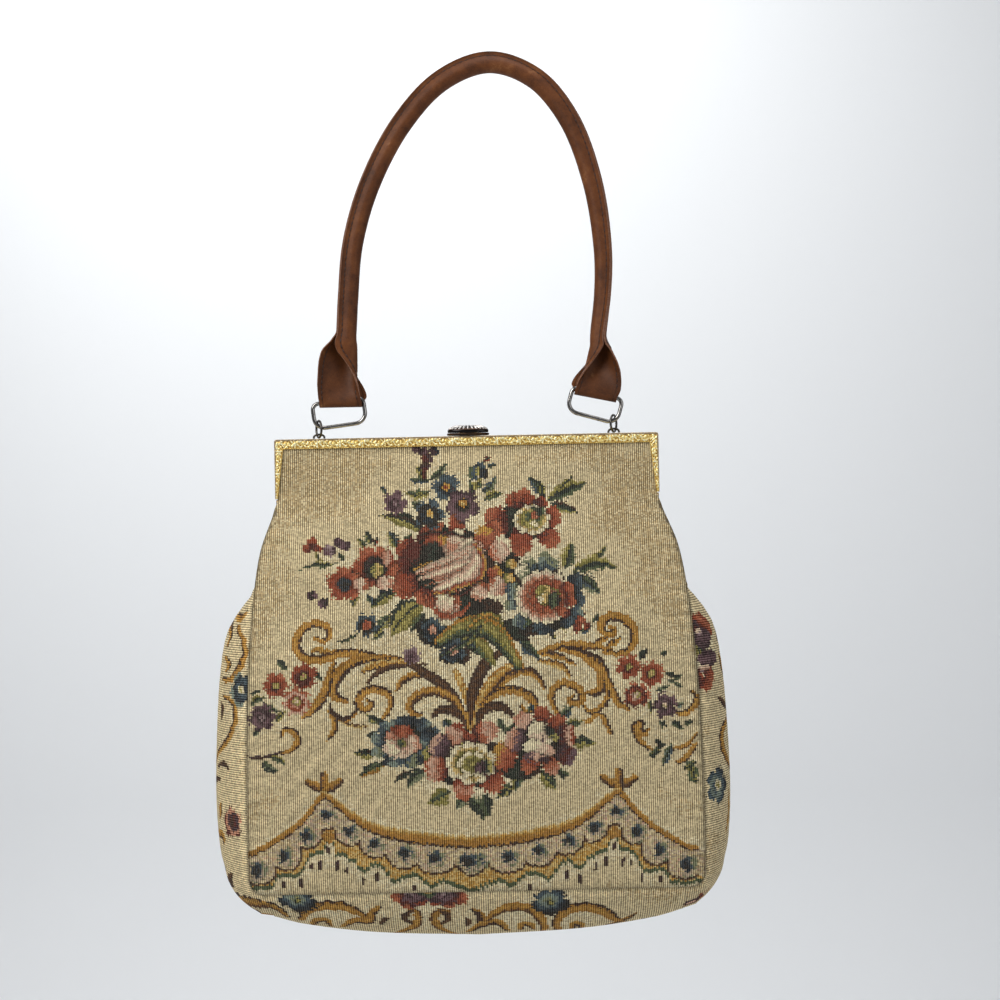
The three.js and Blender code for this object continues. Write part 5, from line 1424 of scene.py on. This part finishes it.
def stampedRelief(u, v, width):  # 0 in the ground of the stamping, 1 on its highest places
    scale = np.minimum(width / gilt["face"], 1)
    u = u - gilt["firstBar"]
    p, q = (u % gilt["unit"]) - gilt["unit"] / 2, v / np.maximum(scale, gilt["leastScale"])
    vine = np.abs(q - gilt["vineSway"] * np.sin(2 * math.pi * u / gilt["unit"]))
    height = gilt["vine"] * np.clip(1 - (vine / gilt["vineHalf"]) ** 2, 0, 1)
    for leaf in gilt["leaves"]:
        along, over = rotated(p - leaf["u"], q - leaf["v"], leaf["turn"])
        along, over = along / leaf["long"], over / leaf["wide"]
        height = np.maximum(height, np.sqrt(np.clip(1 - along**2 - over**2, 0, 1)))
    for rosette in gilt["rosettes"]:
        dp, dq = p - rosette["u"], q - rosette["v"]
        far = np.hypot(dp, dq) / rosette["radius"]
        even, lobed = gilt["rosetteEdge"]
        edge = even + lobed * np.cos(rosette["petals"] * np.arctan2(dq, dp))
        base, rise, ring = gilt["rosetteCup"]
        cup = base + rise * np.abs(far - ring)
        height = np.maximum(height, np.clip(1 - (far / edge) ** 4, 0, 1) * cup)
    bar = np.abs(np.abs(p) - gilt["unit"] / 2)
    return np.maximum(height, np.clip(1 - (bar / gilt["bar"]) ** 2, 0, 1))


def addStud(bm, place):  # the clasp closes over it
    stud = gilt["stud"]
    at = Matrix.Translation((stud["x"] * mm, stud["y"] * mm, (stud["top"] - stud["long"] / 2) * mm))
    peg(bm, place @ at, stud["radius"], stud["long"], stud["sides"], tip=stud["tip"])


def addEars(bm, place):  # two cheeks and the pin between them, on which the clasp turns
    ear, middle = gilt["ear"], gilt["stud"]["x"]
    for sign in (-1, 1):
        x = middle + sign * ear["near"]
        ring = [bm.verts.new(place @ (Vector((x, y, z)) * mm)) for y, z in ear["outline"]]
        grown = bmesh.ops.extrude_face_region(bm, geom=[bm.faces.new(ring)])["geom"]
        moved = [g for g in grown if isinstance(g, bmesh.types.BMVert)]
        bmesh.ops.translate(bm, verts=moved, vec=(sign * ear["thick"] * mm, 0, 0))
    at = Matrix.Translation((middle * mm, ear["pinY"] * mm, ear["pinZ"] * mm))
    lying = Matrix.Rotation(math.pi / 2, 4, "Y")
    peg(bm, place @ at @ lying, ear["pin"], 2 * (ear["near"] + ear["pinOver"]), ear["pinSides"])


def makeFrameHalf(side, name, node):
    outer, inner = frameStations()
    u = lengthAlong((outer + inner) / 2)
    u = u - u[-1] / 2
    width = np.linalg.norm(inner - outer, axis=1)
    near, far, wall = gilt["gap"], gilt["gap"] + gilt["depth"], gilt["wall"]
    v = np.linspace(0, 1, gilt["across"])
    draw = np.random.default_rng(gilt["seed"])
    relief = stampedRelief(u[:, None], (0.5 - v) * width[:, None], width[:, None])
    grain = draw.uniform(gilt["grainFrom"], gilt["grainTo"], relief.shape)
    relief = np.clip(relief * gilt["grain"] + grain, 0, 1)
    edge = np.minimum(v, 1 - v) * width[:, None]
    relief = mix(gilt["rimLevel"], relief, smooth(edge, *(gilt["rim"] * share for share in gilt["rimEase"])))
    proud = gilt["proud"] * relief * smooth(edge, 0, gilt["proudOver"])
    proud = proud - gilt["rimDrop"] * (1 - smooth(edge, 0, gilt["dropOver"]))
    inset = np.minimum(wall / width, gilt["insetMost"])
    one = 1 + 0 * inset
    behind = np.stack((one, inset, inset, one, one, gilt["lip"] * one, 0 * one), axis=1)
    share = np.concatenate([v[None] + 0 * inset[:, None], behind], axis=1)
    back = np.array((far - wall, far - wall, near + wall, near + wall, near, near, near + gilt["rimDrop"]))
    depth = np.concatenate([far + proud, back[None] + 0 * u[:, None]], axis=1)
    place = outer[:, None] + (inner - outer)[:, None] * share[..., None]
    points = np.stack([place[..., 0], side * depth, place[..., 1]], axis=-1)
    mesh = loft(name, points, closed=True)
    plain = np.full((len(u), len(back)), gilt["backLevel"])
    full = np.concatenate([relief, plain, relief[:, :1]], axis=1)
    layValue(mesh, "relief", full)
    layValue(mesh, "rim", np.where(np.arange(full.shape[1]) < gilt["rimRows"], 1.0, 0.0) + 0 * full)
    tidyMesh(mesh, caps=True, sharp=gilt["sharp"])
    bm = openMesh(mesh)
    addMore = addStud if side < 0 else addEars
    addMore(bm, Matrix.Translation(Vector(bagSpot * mm)))
    bmesh.ops.recalc_face_normals(bm, faces=bm.faces)
    closeMesh(bm, mesh, gilt["sharp"])
    return piece(mesh, [giltFinish], "gilt", node)


def gildedFinish(name):
    metal = Finish(name, Metallic=0.45)
    relief = metal.attribute("relief", out="Fac")
    grain = metal.noise(1300, 2)
    glitter = metal.noise(2300, 1)
    patches = metal.noise(60, 2)
    rim = metal.attribute("rim", out="Fac")
    # the colour follows the relief and a random grain: painted shade in the recesses and painted glints on
    # the raised places and grains
    level = relief * 0.62 + (grain - 0.5) * 1.3 + 0.26
    colour = metal.ramp(level, gilt["tones"])
    colour = metal.tint(patches.within(0.45, 0.75) * 0.2, colour, linear(gilt["patches"]))
    metal.feed("Base Color", metal.tint(rim.within(0.3, 0.7), colour, linear(gilt["rimColour"])))
    metal.feed("Roughness", 0.2 + grain * 0.22)
    metal.bump(grain + glitter * 0.8, 0.2 * mm, 0.6)
    return metal.material


giltFinish = gildedFinish("stamped gilt")
makeFrameHalf(-1, "gilt_front", "frame_front")
makeFrameHalf(1, "gilt_back", "frame_back")


def plainMetal(name, colour, rough, spots, metallic=1.0):
    metal = Finish(name, Metallic=metallic)
    cloud = metal.noise(260, 3)
    fine = metal.noise(2200, 2)
    metal.feed("Base Color", metal.tint(cloud.within(0.42, 0.72), linear(colour), linear(spots)))
    metal.feed("Roughness", rough + cloud * 0.12 + fine * 0.05)
    metal.bump(fine, 0.04 * mm, 0.25)
    return metal.material


plainGilt = plainMetal("plain gilt", (206, 160, 78), 0.24, (150, 108, 52))
for node in ("hinge_left", "hinge_right"):
    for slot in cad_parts[node].material_slots:
        slot.material = plainGilt
print("gilt frame stamped")

# clasp: an oval lever plate under a domed ornament with a rope of lumps

clasp = dict(
    x=1, y=-0.2, long=11.9, deep=5.6, plateLow=0.4, plateTop=1.7, plateRound=0.35, plateIn=0.03,
    plateSharp=40,
    tongueHalf=3.6, tongueFrom=3, tongueLow=0.55, tongueTop=1.65,
    pinY=7.4, pinZ=1.5, knuckle=1.25, bore=0.85, boreOver=0.01,
    domeLong=11.45, domeDeep=5.2, domeSharp=70, sides=72, lumps=26, lumpWide=0.82, lumpHigh=0.6,
    lumpAround=12, lumpRows=8, pinSides=28,
    lumpEnds=((0.98, 3.85), (0.5, 5.9)), rimRow=(5, 6), rimShine=0.5,
    tones=((0.1, (24, 20, 19)), (0.5, (112, 76, 44)), (0.9, (226, 220, 214))), tarnish=(50, 40, 34),
    profile=table(
        "share z",
        (0.0, 2.0), (0.97, 2.0), (1.0, 2.2), (1.01, 2.9), (1.0, 3.6), (0.97, 3.85), (0.95, 3.9),
        (0.93, 4.1), (0.86, 4.75), (0.74, 5.3), (0.56, 5.75), (0.36, 6.05), (0.16, 6.2), (0.0, 6.24),
    ),
)


def ovalRings(rows, long, deep):  # one oval for each share of its size and each height
    turn = fullTurn(clasp["sides"])
    rings = []
    for share, z in rows:
        x = clasp["x"] + share * long * np.cos(turn)
        y = clasp["y"] + share * deep * np.sin(turn)
        rings.append(np.stack([x, y, z + 0 * turn], axis=1))
    return np.stack(rings)


def makePlate():
    low, top, edge = clasp["plateLow"], clasp["plateTop"], clasp["plateRound"]
    brim = 1 - clasp["plateIn"]
    rows = [(0, low), (brim, low), (1, low + edge), (1, top - edge), (brim, top), (0, top)]
    mesh = loft("clasp_plate", ovalRings(rows, clasp["long"], clasp["deep"]), closed=True)
    tidyMesh(mesh, sharp=clasp["plateSharp"])
    bm = openMesh(mesh)
    start, end = clasp["tongueFrom"], clasp["pinY"]
    size = Vector((2 * clasp["tongueHalf"], end - start, clasp["tongueTop"] - clasp["tongueLow"])) * mm
    at = Vector((clasp["x"], (start + end) / 2, (clasp["tongueTop"] + clasp["tongueLow"]) / 2))
    spot = Vector(bagSpot)
    box = Matrix.Translation((spot + at) * mm) @ Matrix.Diagonal((*size, 1))
    bmesh.ops.create_cube(bm, size=1, matrix=box)
    pin = Matrix.Translation((spot + Vector((clasp["x"], clasp["pinY"], clasp["pinZ"]))) * mm)
    pin = pin @ Matrix.Rotation(math.pi / 2, 4, "Y")
    for radius, over in ((clasp["knuckle"], 0), (clasp["bore"], clasp["boreOver"])):
        peg(bm, pin, radius, 2 * (clasp["tongueHalf"] + over), clasp["pinSides"], ends=not over)
    closeMesh(bm, mesh, clasp["plateSharp"])
    return piece(mesh, [darkGilt], "gilt", "clasp_lever", body="clasp")


def makeDome():
    rows = [(row["share"], row["z"]) for row in clasp["profile"]]
    points = ovalRings(rows, clasp["domeLong"], clasp["domeDeep"])
    mesh = loft("clasp_dome_ornament", points, closed=True)
    shine = np.zeros((len(rows), clasp["sides"] + 1))
    shine[clasp["rimRow"][0]:clasp["rimRow"][1] + 1] = clasp["rimShine"]
    layValue(mesh, "bright", shine)
    tidyMesh(mesh, sharp=clasp["domeSharp"])
    bm = openMesh(mesh)
    bright = bm.verts.layers.float["bright"]
    middle = np.array((clasp["x"], clasp["y"], 0))
    for k in range(clasp["lumps"]):
        turn = 2 * math.pi * (k + 0.5) / clasp["lumps"]
        reach = np.array((clasp["domeLong"] * math.cos(turn), clasp["domeDeep"] * math.sin(turn), 0))
        start, end = (middle + (0, 0, z) + share * reach for share, z in clasp["lumpEnds"])
        run = Vector(end - start)
        place = Matrix.Translation(Vector(bagSpot + (start + end) / 2) * mm)
        grow = Matrix.Diagonal((clasp["lumpHigh"] * mm, clasp["lumpWide"] * mm, run.length / 2 * mm, 1))
        shape = place @ run.to_track_quat("Z", "Y").to_matrix().to_4x4() @ grow
        made = bmesh.ops.create_uvsphere(bm, u_segments=clasp["lumpAround"], v_segments=clasp["lumpRows"],
                                         radius=1, matrix=shape)
        for vertex in made["verts"]:
            vertex[bright] = 1
    closeMesh(bm, mesh, clasp["domeSharp"])
    return piece(mesh, [domeFinish], "nickel", "clasp_dome", body="clasp")


def darkenedNickel(name):
    metal = Finish(name, Metallic=0.6)
    bright = metal.attribute("bright", out="Fac")
    cloud = metal.noise(420, 3)
    colour = metal.ramp(bright, clasp["tones"])
    metal.feed("Base Color", metal.tint(cloud.within(0.5, 0.75) * 0.3, colour, linear(clasp["tarnish"])))
    metal.feed("Roughness", 0.14 + cloud * 0.12)
    metal.bump(cloud, 0.05 * mm, 0.4)
    return metal.material


domeFinish = darkenedNickel("darkened nickel")
darkGilt = plainMetal("tarnished gilt", (44, 34, 26), 0.34, (84, 60, 34), 0.8)
makePlate()
makeDome()
print("clasp made")

# wire: staples on the frame, small round rings, and the oblong rings that hold the strap

wire = dict(
    y=2.4, eyeX=83.4, eyeWire=1.2, eyeHalf=3, eyeTop=2.6, eyeLift=0.08, eyeFoot=0.9, eyeStart=0.3,
    jump=4.7, jumpWire=1.3, jumpTurn=24, play=0.35,
    thinSides=14, thickSides=20, eyeSteps=22, jumpSteps=72, cornerSteps=12, ringSteps=120,
    ringHalf=14.55, ringHeight=7.05, topCorner=3.5, lowCorner=6, ringWire=2.4, hold=3.9, ringPlay=1.15,
)
sides = table(
    "name sign tilt tabTilt tabIn tabDrop openFrom openTo",
    ("left", -1, 7, 0, 1.85, 1.2, 31, 40), ("right", 1, -16, -12, 1.2, 0.6, 26, 34),
)


def turned(x, z, degrees):
    x, z = rotated(np.array(x, float), np.array(z, float), -degrees)
    return np.stack([x, 0 * x, z], axis=-1)


jumpZ = wire["eyeTop"] - wire["eyeWire"] / 2 - wire["play"] - wire["jumpWire"] / 2 + wire["jump"]


def ringCentre(side):
    across = wire["ringHalf"] - wire["lowCorner"] + wire["hold"]
    low = wire["lowCorner"] - wire["ringHeight"] - math.sqrt(wire["lowCorner"] ** 2 - wire["hold"] ** 2)
    top = jumpZ + wire["jump"] - wire["jumpWire"] / 2 - wire["ringPlay"] - wire["ringWire"] / 2
    spot = np.array((side["sign"] * wire["eyeX"], wire["y"], top))
    return spot - turned(side["sign"] * across, low, side["tilt"])


def ringOutline():
    a, b = wire["ringHalf"], wire["ringHeight"]
    corners = ((1, -1, "lowCorner"), (1, 1, "topCorner"), (-1, 1, "topCorner"), (-1, -1, "lowCorner"))
    made = []
    for quarter, (sx, sz, corner) in enumerate(corners):
        r = wire[corner]
        turn = np.radians(90 * (quarter - 1) + np.linspace(0, 90, wire["cornerSteps"]))
        made.append(np.stack([sx * (a - r) + r * np.cos(turn), sz * (b - r) + r * np.sin(turn)], axis=1))
    line = np.concatenate(made + [made[0][:1]])
    return placedAlong(line, np.linspace(0, lengthAlong(line)[-1], wire["ringSteps"], endpoint=False))


def makeWire(side):
    sign, name = side["sign"], side["name"]
    turn = np.linspace(math.pi, 0, wire["eyeSteps"])
    rise = wire["eyeFoot"] + (wire["eyeTop"] - wire["eyeFoot"]) * np.sin(turn)
    arch = np.stack([wire["eyeHalf"] * np.cos(turn), 0 * turn, rise], axis=1)
    foot = np.array((wire["eyeHalf"], 0, wire["eyeStart"]))
    line = np.concatenate([[foot * (-1, 1, 1)], arch, [foot]])
    line = line + (sign * wire["eyeX"], wire["y"], wire["eyeLift"])
    eye = tube("eye_" + name, line, wire["eyeWire"] / 2, wire["thinSides"], (0, 1, 0))
    piece(eye, [gunmetal], "nickel", "handle_eye_" + name)
    around = fullTurn(wire["jumpSteps"])
    swing = math.radians(90 - sign * wire["jumpTurn"])
    flat = np.array((math.cos(swing), math.sin(swing), 0))
    line = np.cos(around)[:, None] * flat + np.sin(around)[:, None] * (0, 0, 1)
    line = wire["jump"] * line + (sign * wire["eyeX"], wire["y"], jumpZ)
    over = (-math.sin(swing), math.cos(swing), 0)
    jump = tube("round_ring_" + name, line, wire["jumpWire"] / 2, wire["thinSides"], over, closed=True)
    piece(jump, [gunmetal], "nickel", "jump_ring_" + name)
    outline = ringOutline()
    line = turned(outline[:, 0], outline[:, 1], side["tilt"]) + ringCentre(side)
    thick = wire["ringWire"] / 2
    ring = tube("oblong_ring_" + name, line, thick, wire["thickSides"], (0, 1, 0), closed=True)
    piece(ring, [polished], "nickel", "handle_ring_" + name)


gunmetal = plainMetal("gunmetal wire", (92, 88, 84), 0.2, (58, 54, 50))
polished = plainMetal("polished nickel wire", (158, 155, 152), 0.05, (112, 108, 104))
for side in sides:
    makeWire(side)
print("rings bent")

# handle: one leather strip, rolled with its edges sewn together as a fin, flat and folded at the rings

handle = dict(
    strip=1, roll=4.2, finGap=0.56, fillet=2.5, fin=1.4, pace=1.5, levelFrom=16, sharp=55,
    tabHalf=12, tabEnd=21, tabLean=2.4, tabShift=2.6, endShare=0.4, tabNear=0.08, shiftOver=0.14,
    narrowFrom=0.15, leanFrom=0.1,
    tabSteps=14, foldSteps=16, lineSteps=60, openSteps=12, fineSteps=320, rollMarks=11,
    filletMarks=(0.5, 1), finMarks=(0.62, 0.3, 0.0),
    stitchPitch=3.1, stitchIn=2.7, stitchFrom=30, stitch=(1.3, 0.42, 0.3), stitchAround=6, stitchRows=4,
    scuffed=(168, 118, 78), dented=(50, 24, 10), inner=(48, 22, 6),
    edgeTones=((0.3, (92, 58, 42)), (0.7, (150, 106, 82))),
    threadTones=((0.3, (34, 16, 8)), (0.75, (70, 38, 20))),
    line=(
        (-68.6, 42), (-66, 57), (-64.4, 78), (-61, 110), (-50.6, 143.5), (-31.6, 177.6), (-8.6, 201),
        (17.4, 210), (41.6, 201), (60.4, 178), (73.2, 142.6), (78.8, 104), (78.4, 78), (76, 58), (74.6, 42),
    ),
    finTurn=table(
        "share turn",
        (0, 0), (0.035, 18), (0.07, 44), (0.1, 54), (0.2, 56), (0.36, 64), (0.5, 80), (0.64, 60),
        (0.78, 42), (0.9, 26), (0.96, 10), (1, 0),
    ),
    # the strip's section as it opens, from its inner edge to its outer one: outward and forward places
    opening=dict(
        left=table(
            "h places",
            (0, ((-11.7, 2), (-8, 2), (-4, 2), (0, 2), (4, 2), (8, 2), (12, 2))),
            (3.2, ((-11.3, 3), (-7.8, 2.1), (-4, 1.8), (0, 1.7), (4.2, 1.8), (8.3, 2), (12.5, 3))),
            (10.2, ((-9.7, 4.4), (-8.4, 1.2), (-5, -0.8), (-0.8, -1), (4, 0), (8.6, 1.6), (12.8, 4))),
            (14.9, ((-8.1, 4.8), (-9, 0.8), (-6, -1.8), (-1.4, -2.2), (3.6, -0.6), (8.4, 1.6),
             (12.5, 4.4))),
            (19.6, ((-5.5, 5.2), (-9.2, 0.8), (-7, -2.6), (-2.4, -3.3), (2.8, -1.2), (8, 1.6),
             (12.2, 4.8))),
            (24.3, ((-2.2, 5.6), (-9, 1.6), (-7.8, -2.2), (-3.4, -4), (2, -1.8), (7.4, 1.4), (11.7, 5))),
            (29, ((1.6, 5.8), (-8.6, 2.4), (-8.4, -1.8), (-4, -4.3), (1.2, -2.2), (6.4, 1.2), (10.4, 5.2))),
            (34, ((3.2, 6.2), (-7.8, 3.2), (-8.8, -1.4), (-4.6, -4.5), (0.2, -2.6), (4.6, 1.2),
             (6.8, 5.4))),
        ),
        right=table(
            "h places",
            (0, ((-11.9, 2), (-8.2, 2), (-4.1, 2), (0, 2), (4.1, 2), (8.2, 2), (12.2, 2))),
            (4, ((-10.8, 3.2), (-7.6, 2), (-4, 1.7), (0, 1.7), (4.7, 1.8), (9.4, 2), (14, 3.2))),
            (8, ((-9.4, 4), (-7.2, 1.4), (-3.6, 0.2), (0.6, 0), (5.2, 0.6), (9.8, 1.8), (14.1, 4))),
            (12.7, ((-6.8, 4.8), (-6.8, 1), (-3.4, -1.4), (1, -2), (5.6, -0.8), (10, 1.8), (13.4, 4.8))),
            (18.2, ((-2.2, 5.6), (-5.2, 1.2), (-3.2, -2.2), (1.4, -3.4), (6, -1.8), (9.6, 2), (11.4, 5.6))),
            (23.8, ((2, 6.2), (-3.8, 1.4), (-2.2, -2.4), (2, -4.1), (6, -2.2), (8.6, 2.2), (8.5, 6.2))),
            (27.8, ((4.2, 6.6), (-2.8, 1.6), (-1.2, -2.4), (2.6, -4.3), (6, -2.2), (7.6, 2.2), (5.5, 6.6))),
        ),
    ),
)

rollTurn = math.pi - math.asin((handle["finGap"] + handle["fillet"]) / (handle["roll"] + handle["fillet"]))
rollLength = rollTurn * handle["roll"]
filletTurn = rollTurn - math.pi / 2
filletLength = filletTurn * handle["fillet"]
halfLength = rollLength + filletLength + handle["fin"]
tabShare = handle["tabHalf"] / halfLength
foldRadius = wire["ringWire"] / 2 + wire["play"] + handle["strip"] / 2
front = np.array((0, -1.0, 0))


def rolledHalf():  # half of the rolled strip's section: places and headings from its back out
    steps = handle["fineSteps"]
    fine = np.linspace(0, halfLength, steps + 1)
    at = (fine[:-1] + fine[1:]) / 2
    back = np.clip((at - rollLength) / filletLength, 0, 1)
    heading = np.where(at < rollLength, rollTurn * at / rollLength, rollTurn - filletTurn * back)
    p = np.concatenate([[0], np.cumsum(np.cos(heading))]) * halfLength / steps
    q = np.concatenate([[0], np.cumsum(np.sin(heading))]) * halfLength / steps - handle["roll"]
    turn = np.interp(marks, at, heading)
    return np.interp(marks, fine, p), np.interp(marks, fine, q), turn


marks = np.concatenate([
    np.linspace(0, rollLength, handle["rollMarks"]),
    rollLength + filletLength * np.array(handle["filletMarks"]),
    halfLength - handle["fin"] * np.array(handle["finMarks"]),
])
acrossMarks = np.concatenate([-marks[:0:-1], marks])
rolled = rolledHalf()


def stripSection(row):  # outer and inner face of one section
    if "flat" in row:
        p, q, turn = marks * row["flat"], foldRadius + row["lean"] + 0 * marks, 0 * marks
    else:
        p, q, turn = rolled
    faces = []
    for by in (handle["strip"] / 2, -handle["strip"] / 2):
        a, b = p + by * np.sin(turn), q - by * np.cos(turn)
        face = np.stack([np.concatenate([-a[:0:-1], a]), np.concatenate([b[:0:-1], b])], axis=1)
        places = row["centre"] + face[:, :1] * row["across"] + face[:, 1:] * row["ahead"]
        if "places" in row:
            places = mix(places, openedFace(row, by), row["opening"])
        faces.append(places)
    return faces


def openedFace(row, by):
    curve = curveThrough(row["places"], handle["openSteps"])
    way = unit(np.gradient(curve, axis=0))
    face = curve + by * np.stack([way[:, 1], -way[:, 0]], axis=1)
    length = lengthAlong(curve)
    face = readRows((acrossMarks / halfLength + 1) / 2 * length[-1], length, face)
    return row["base"] + face[:, :1] * row["outside"] + face[:, 1:] * front


def barMiddle(side):
    middle = ringCentre(side) + turned(0, wire["ringHeight"], side["tilt"])
    return middle - (side["sign"] * side["tabIn"], 0, side["tabDrop"])


def tabRows(side):
    centre = barMiddle(side)
    across, up = turned(side["sign"], 0, side["tabTilt"]), turned(0, 1, side["tabTilt"])
    rows = []
    for share in np.linspace(1, handle["tabNear"], handle["tabSteps"]):
        narrow = mix(1, handle["endShare"], smooth(share, handle["narrowFrom"], 1))
        shift = smooth(share, 0, handle["shiftOver"]) * handle["tabShift"]
        loose = centre + share * handle["tabEnd"] * up - shift * across
        lean = handle["tabLean"] * smooth(share, handle["leanFrom"], 1)
        rows.append(dict(centre=loose, across=across, ahead=-front, flat=tabShare * narrow, lean=lean))
    for turn in np.linspace(math.pi, 0, handle["foldSteps"]):
        ahead = front * math.cos(turn) - up * math.sin(turn)
        rows.append(dict(centre=centre, across=across, ahead=ahead, flat=tabShare, lean=0))
    return rows


def openedAt(side, h):
    keys = handle["opening"][side["name"]]
    sections = column(keys, "places").reshape(len(keys), -1)
    return readRows(h, column(keys, "h"), sections).reshape(-1, 2)


def rolledRows():
    between = [(x, wire["y"], z) for x, z in handle["line"]]
    line = curveThrough([barMiddle(sides[0]), *between, barMiddle(sides[1])], handle["lineSteps"])
    length = lengthAlong(line)[-1]
    at = np.linspace(0, length, round(length / handle["pace"]) + 1)
    line = placedAlong(line, at)
    way = unit(np.gradient(line, axis=0))
    finTurn = reading(handle["finTurn"], "share", "turn")
    rows = []
    for distance, centre, ahead in list(zip(at, line, way))[1:-1]:
        side = sides[0 if distance < length / 2 else 1]
        outside = np.array((-ahead[2], 0, ahead[0]))
        turn = math.radians(float(finTurn(distance / length)))
        row = dict(centre=centre, across=-front * math.sin(turn) + outside * math.cos(turn),
                   ahead=front * math.cos(turn) + outside * math.sin(turn))
        bar = barMiddle(side)
        h = centre[2] - bar[2]
        if h < side["openTo"]:
            flat, level = turned(side["sign"], 0, side["tabTilt"]), turned(side["sign"], 0, 0)
            row.update(places=openedAt(side, h), opening=1 - smooth(h, side["openFrom"], side["openTo"]),
                       outside=unit(mix(flat, level, smooth(h, 0, handle["levelFrom"]))),
                       base=bar + (math.sin(math.radians(view["roll"])) * h, 0, h))
        rows.append(row)
    return rows


def makeHandle():
    rows = tabRows(sides[0]) + rolledRows() + tabRows(sides[1])[::-1]
    outer, inner = (np.array(face) for face in zip(*(stripSection(row) for row in rows)))
    points = np.concatenate([outer, inner[:, ::-1]], axis=1)
    mesh = loft("handle_strap", points, closed=True)
    along = lengthAlong(outer[:, outer.shape[1] // 2])[:, None]
    ring = np.concatenate([acrossMarks, acrossMarks[::-1], acrossMarks[:1]])[None] + 0 * along
    layUv(mesh, "strip", ring, along + 0 * ring)
    count = outer.shape[1]
    layValue(mesh, "inside", np.repeat((0.0, 1.0, 0.0), (count, count, 1))[None] + 0 * along)
    rim = np.isin(np.arange(2 * count), (count - 1, 2 * count - 1))  # the cells along the cut edges
    index = np.broadcast_to(rim, (len(rows) - 1, 2 * count)).astype(np.int32)
    mesh.polygons.foreach_set("material_index", index.ravel())
    tidyMesh(mesh, caps=True, sharp=handle["sharp"])
    strap = piece(mesh, [leatherFinish, rawEdge], "leather", "handle")
    sewHandle(outer, inner)
    return strap


def sewHandle(outer, inner):  # short stitches near both edges, on both faces
    bm = bmesh.new()
    length = lengthAlong(outer[:, outer.shape[1] // 2])
    at = np.arange(handle["stitchFrom"], length[-1] - handle["stitchFrom"], handle["stitchPitch"])
    normal = unit(outer - inner)
    size = Matrix.Diagonal((*(np.array(handle["stitch"]) * mm), 1))

    def atStitches(grid, edge):  # a grid of the strip read along one sewn line, at every stitch
        line = np.array([readRows(edge, acrossMarks, row) for row in grid])
        return readRows(at, length, line)

    for sign in (-1, 1):
        edge = sign * (halfLength - handle["stitchIn"])
        for face, out in ((outer, 1), (inner, -1)):
            spots, up = atStitches(face, edge), unit(atStitches(normal * out, edge))
            for spot, over, ahead in zip(spots, up, unit(np.gradient(spots, axis=0))):
                turn = Matrix(np.stack([ahead, np.cross(over, ahead), over], axis=1).tolist()).to_4x4()
                place = Matrix.Translation(Vector((spot + bagSpot) * mm)) @ turn @ size
                bmesh.ops.create_uvsphere(bm, u_segments=handle["stitchAround"],
                                          v_segments=handle["stitchRows"], radius=1, matrix=place)
    mesh = bpy.data.meshes.new("handle_stitches")
    closeMesh(bm, mesh)
    return piece(mesh, [stitchThread], "leather")


def leather(name, dark, mid, light, rough):
    hide = Finish(name, Specular_IOR_Level=0.25)
    across = hide.uv("strip")[0]
    broad = hide.noise(34, 3)
    pebble = hide.noise(1900, 3, 0.6)
    crease = hide.noise(120, 4, 0.62)
    level = broad * 0.3 + crease * 0.4 + pebble * 0.3
    colour = hide.ramp(level, ((0.36, dark), (0.52, mid), (0.7, light)))
    scuff = crease.within(0.58, 0.72) * broad.within(0.48, 0.66)
    worn = hide.tint(scuff * 0.55, colour, linear(handle["scuffed"]))
    seam = 1 - abs(abs(across) - (halfLength - handle["stitchIn"])).within(0.15, 0.6)
    shown = hide.tint(seam * 0.6, worn, linear(handle["dented"]))
    inside = hide.attribute("inside", out="Fac")
    hide.feed("Base Color", hide.tint(inside * 0.32, shown, linear(handle["inner"])))
    hide.feed("Roughness", rough + pebble * 0.16 - broad * 0.08)
    hide.bump(pebble * 0.4 + crease * 0.6 - seam * 0.5, 0.4 * mm, 0.6)
    return hide.material


def fuzzyEdge(name):
    edge = Finish(name, Roughness=0.85)
    fibre = edge.noise(1500, 3)
    edge.feed("Base Color", edge.ramp(fibre, handle["edgeTones"]))
    edge.bump(fibre, 0.2 * mm, 0.6)
    return edge.material


def spunThread(name):
    thread = Finish(name, Roughness=0.6)
    twist = thread.noise(2400, 2)
    thread.feed("Base Color", thread.ramp(twist, handle["threadTones"]))
    thread.bump(twist, 0.1 * mm, 0.5)
    return thread.material


leatherFinish = leather("brown leather", (66, 34, 14), (104, 58, 26), (134, 82, 42), 0.5)
rawEdge = fuzzyEdge("raw leather edge")
stitchThread = spunThread("brown thread")
makeHandle()
print("handle rolled and sewn")
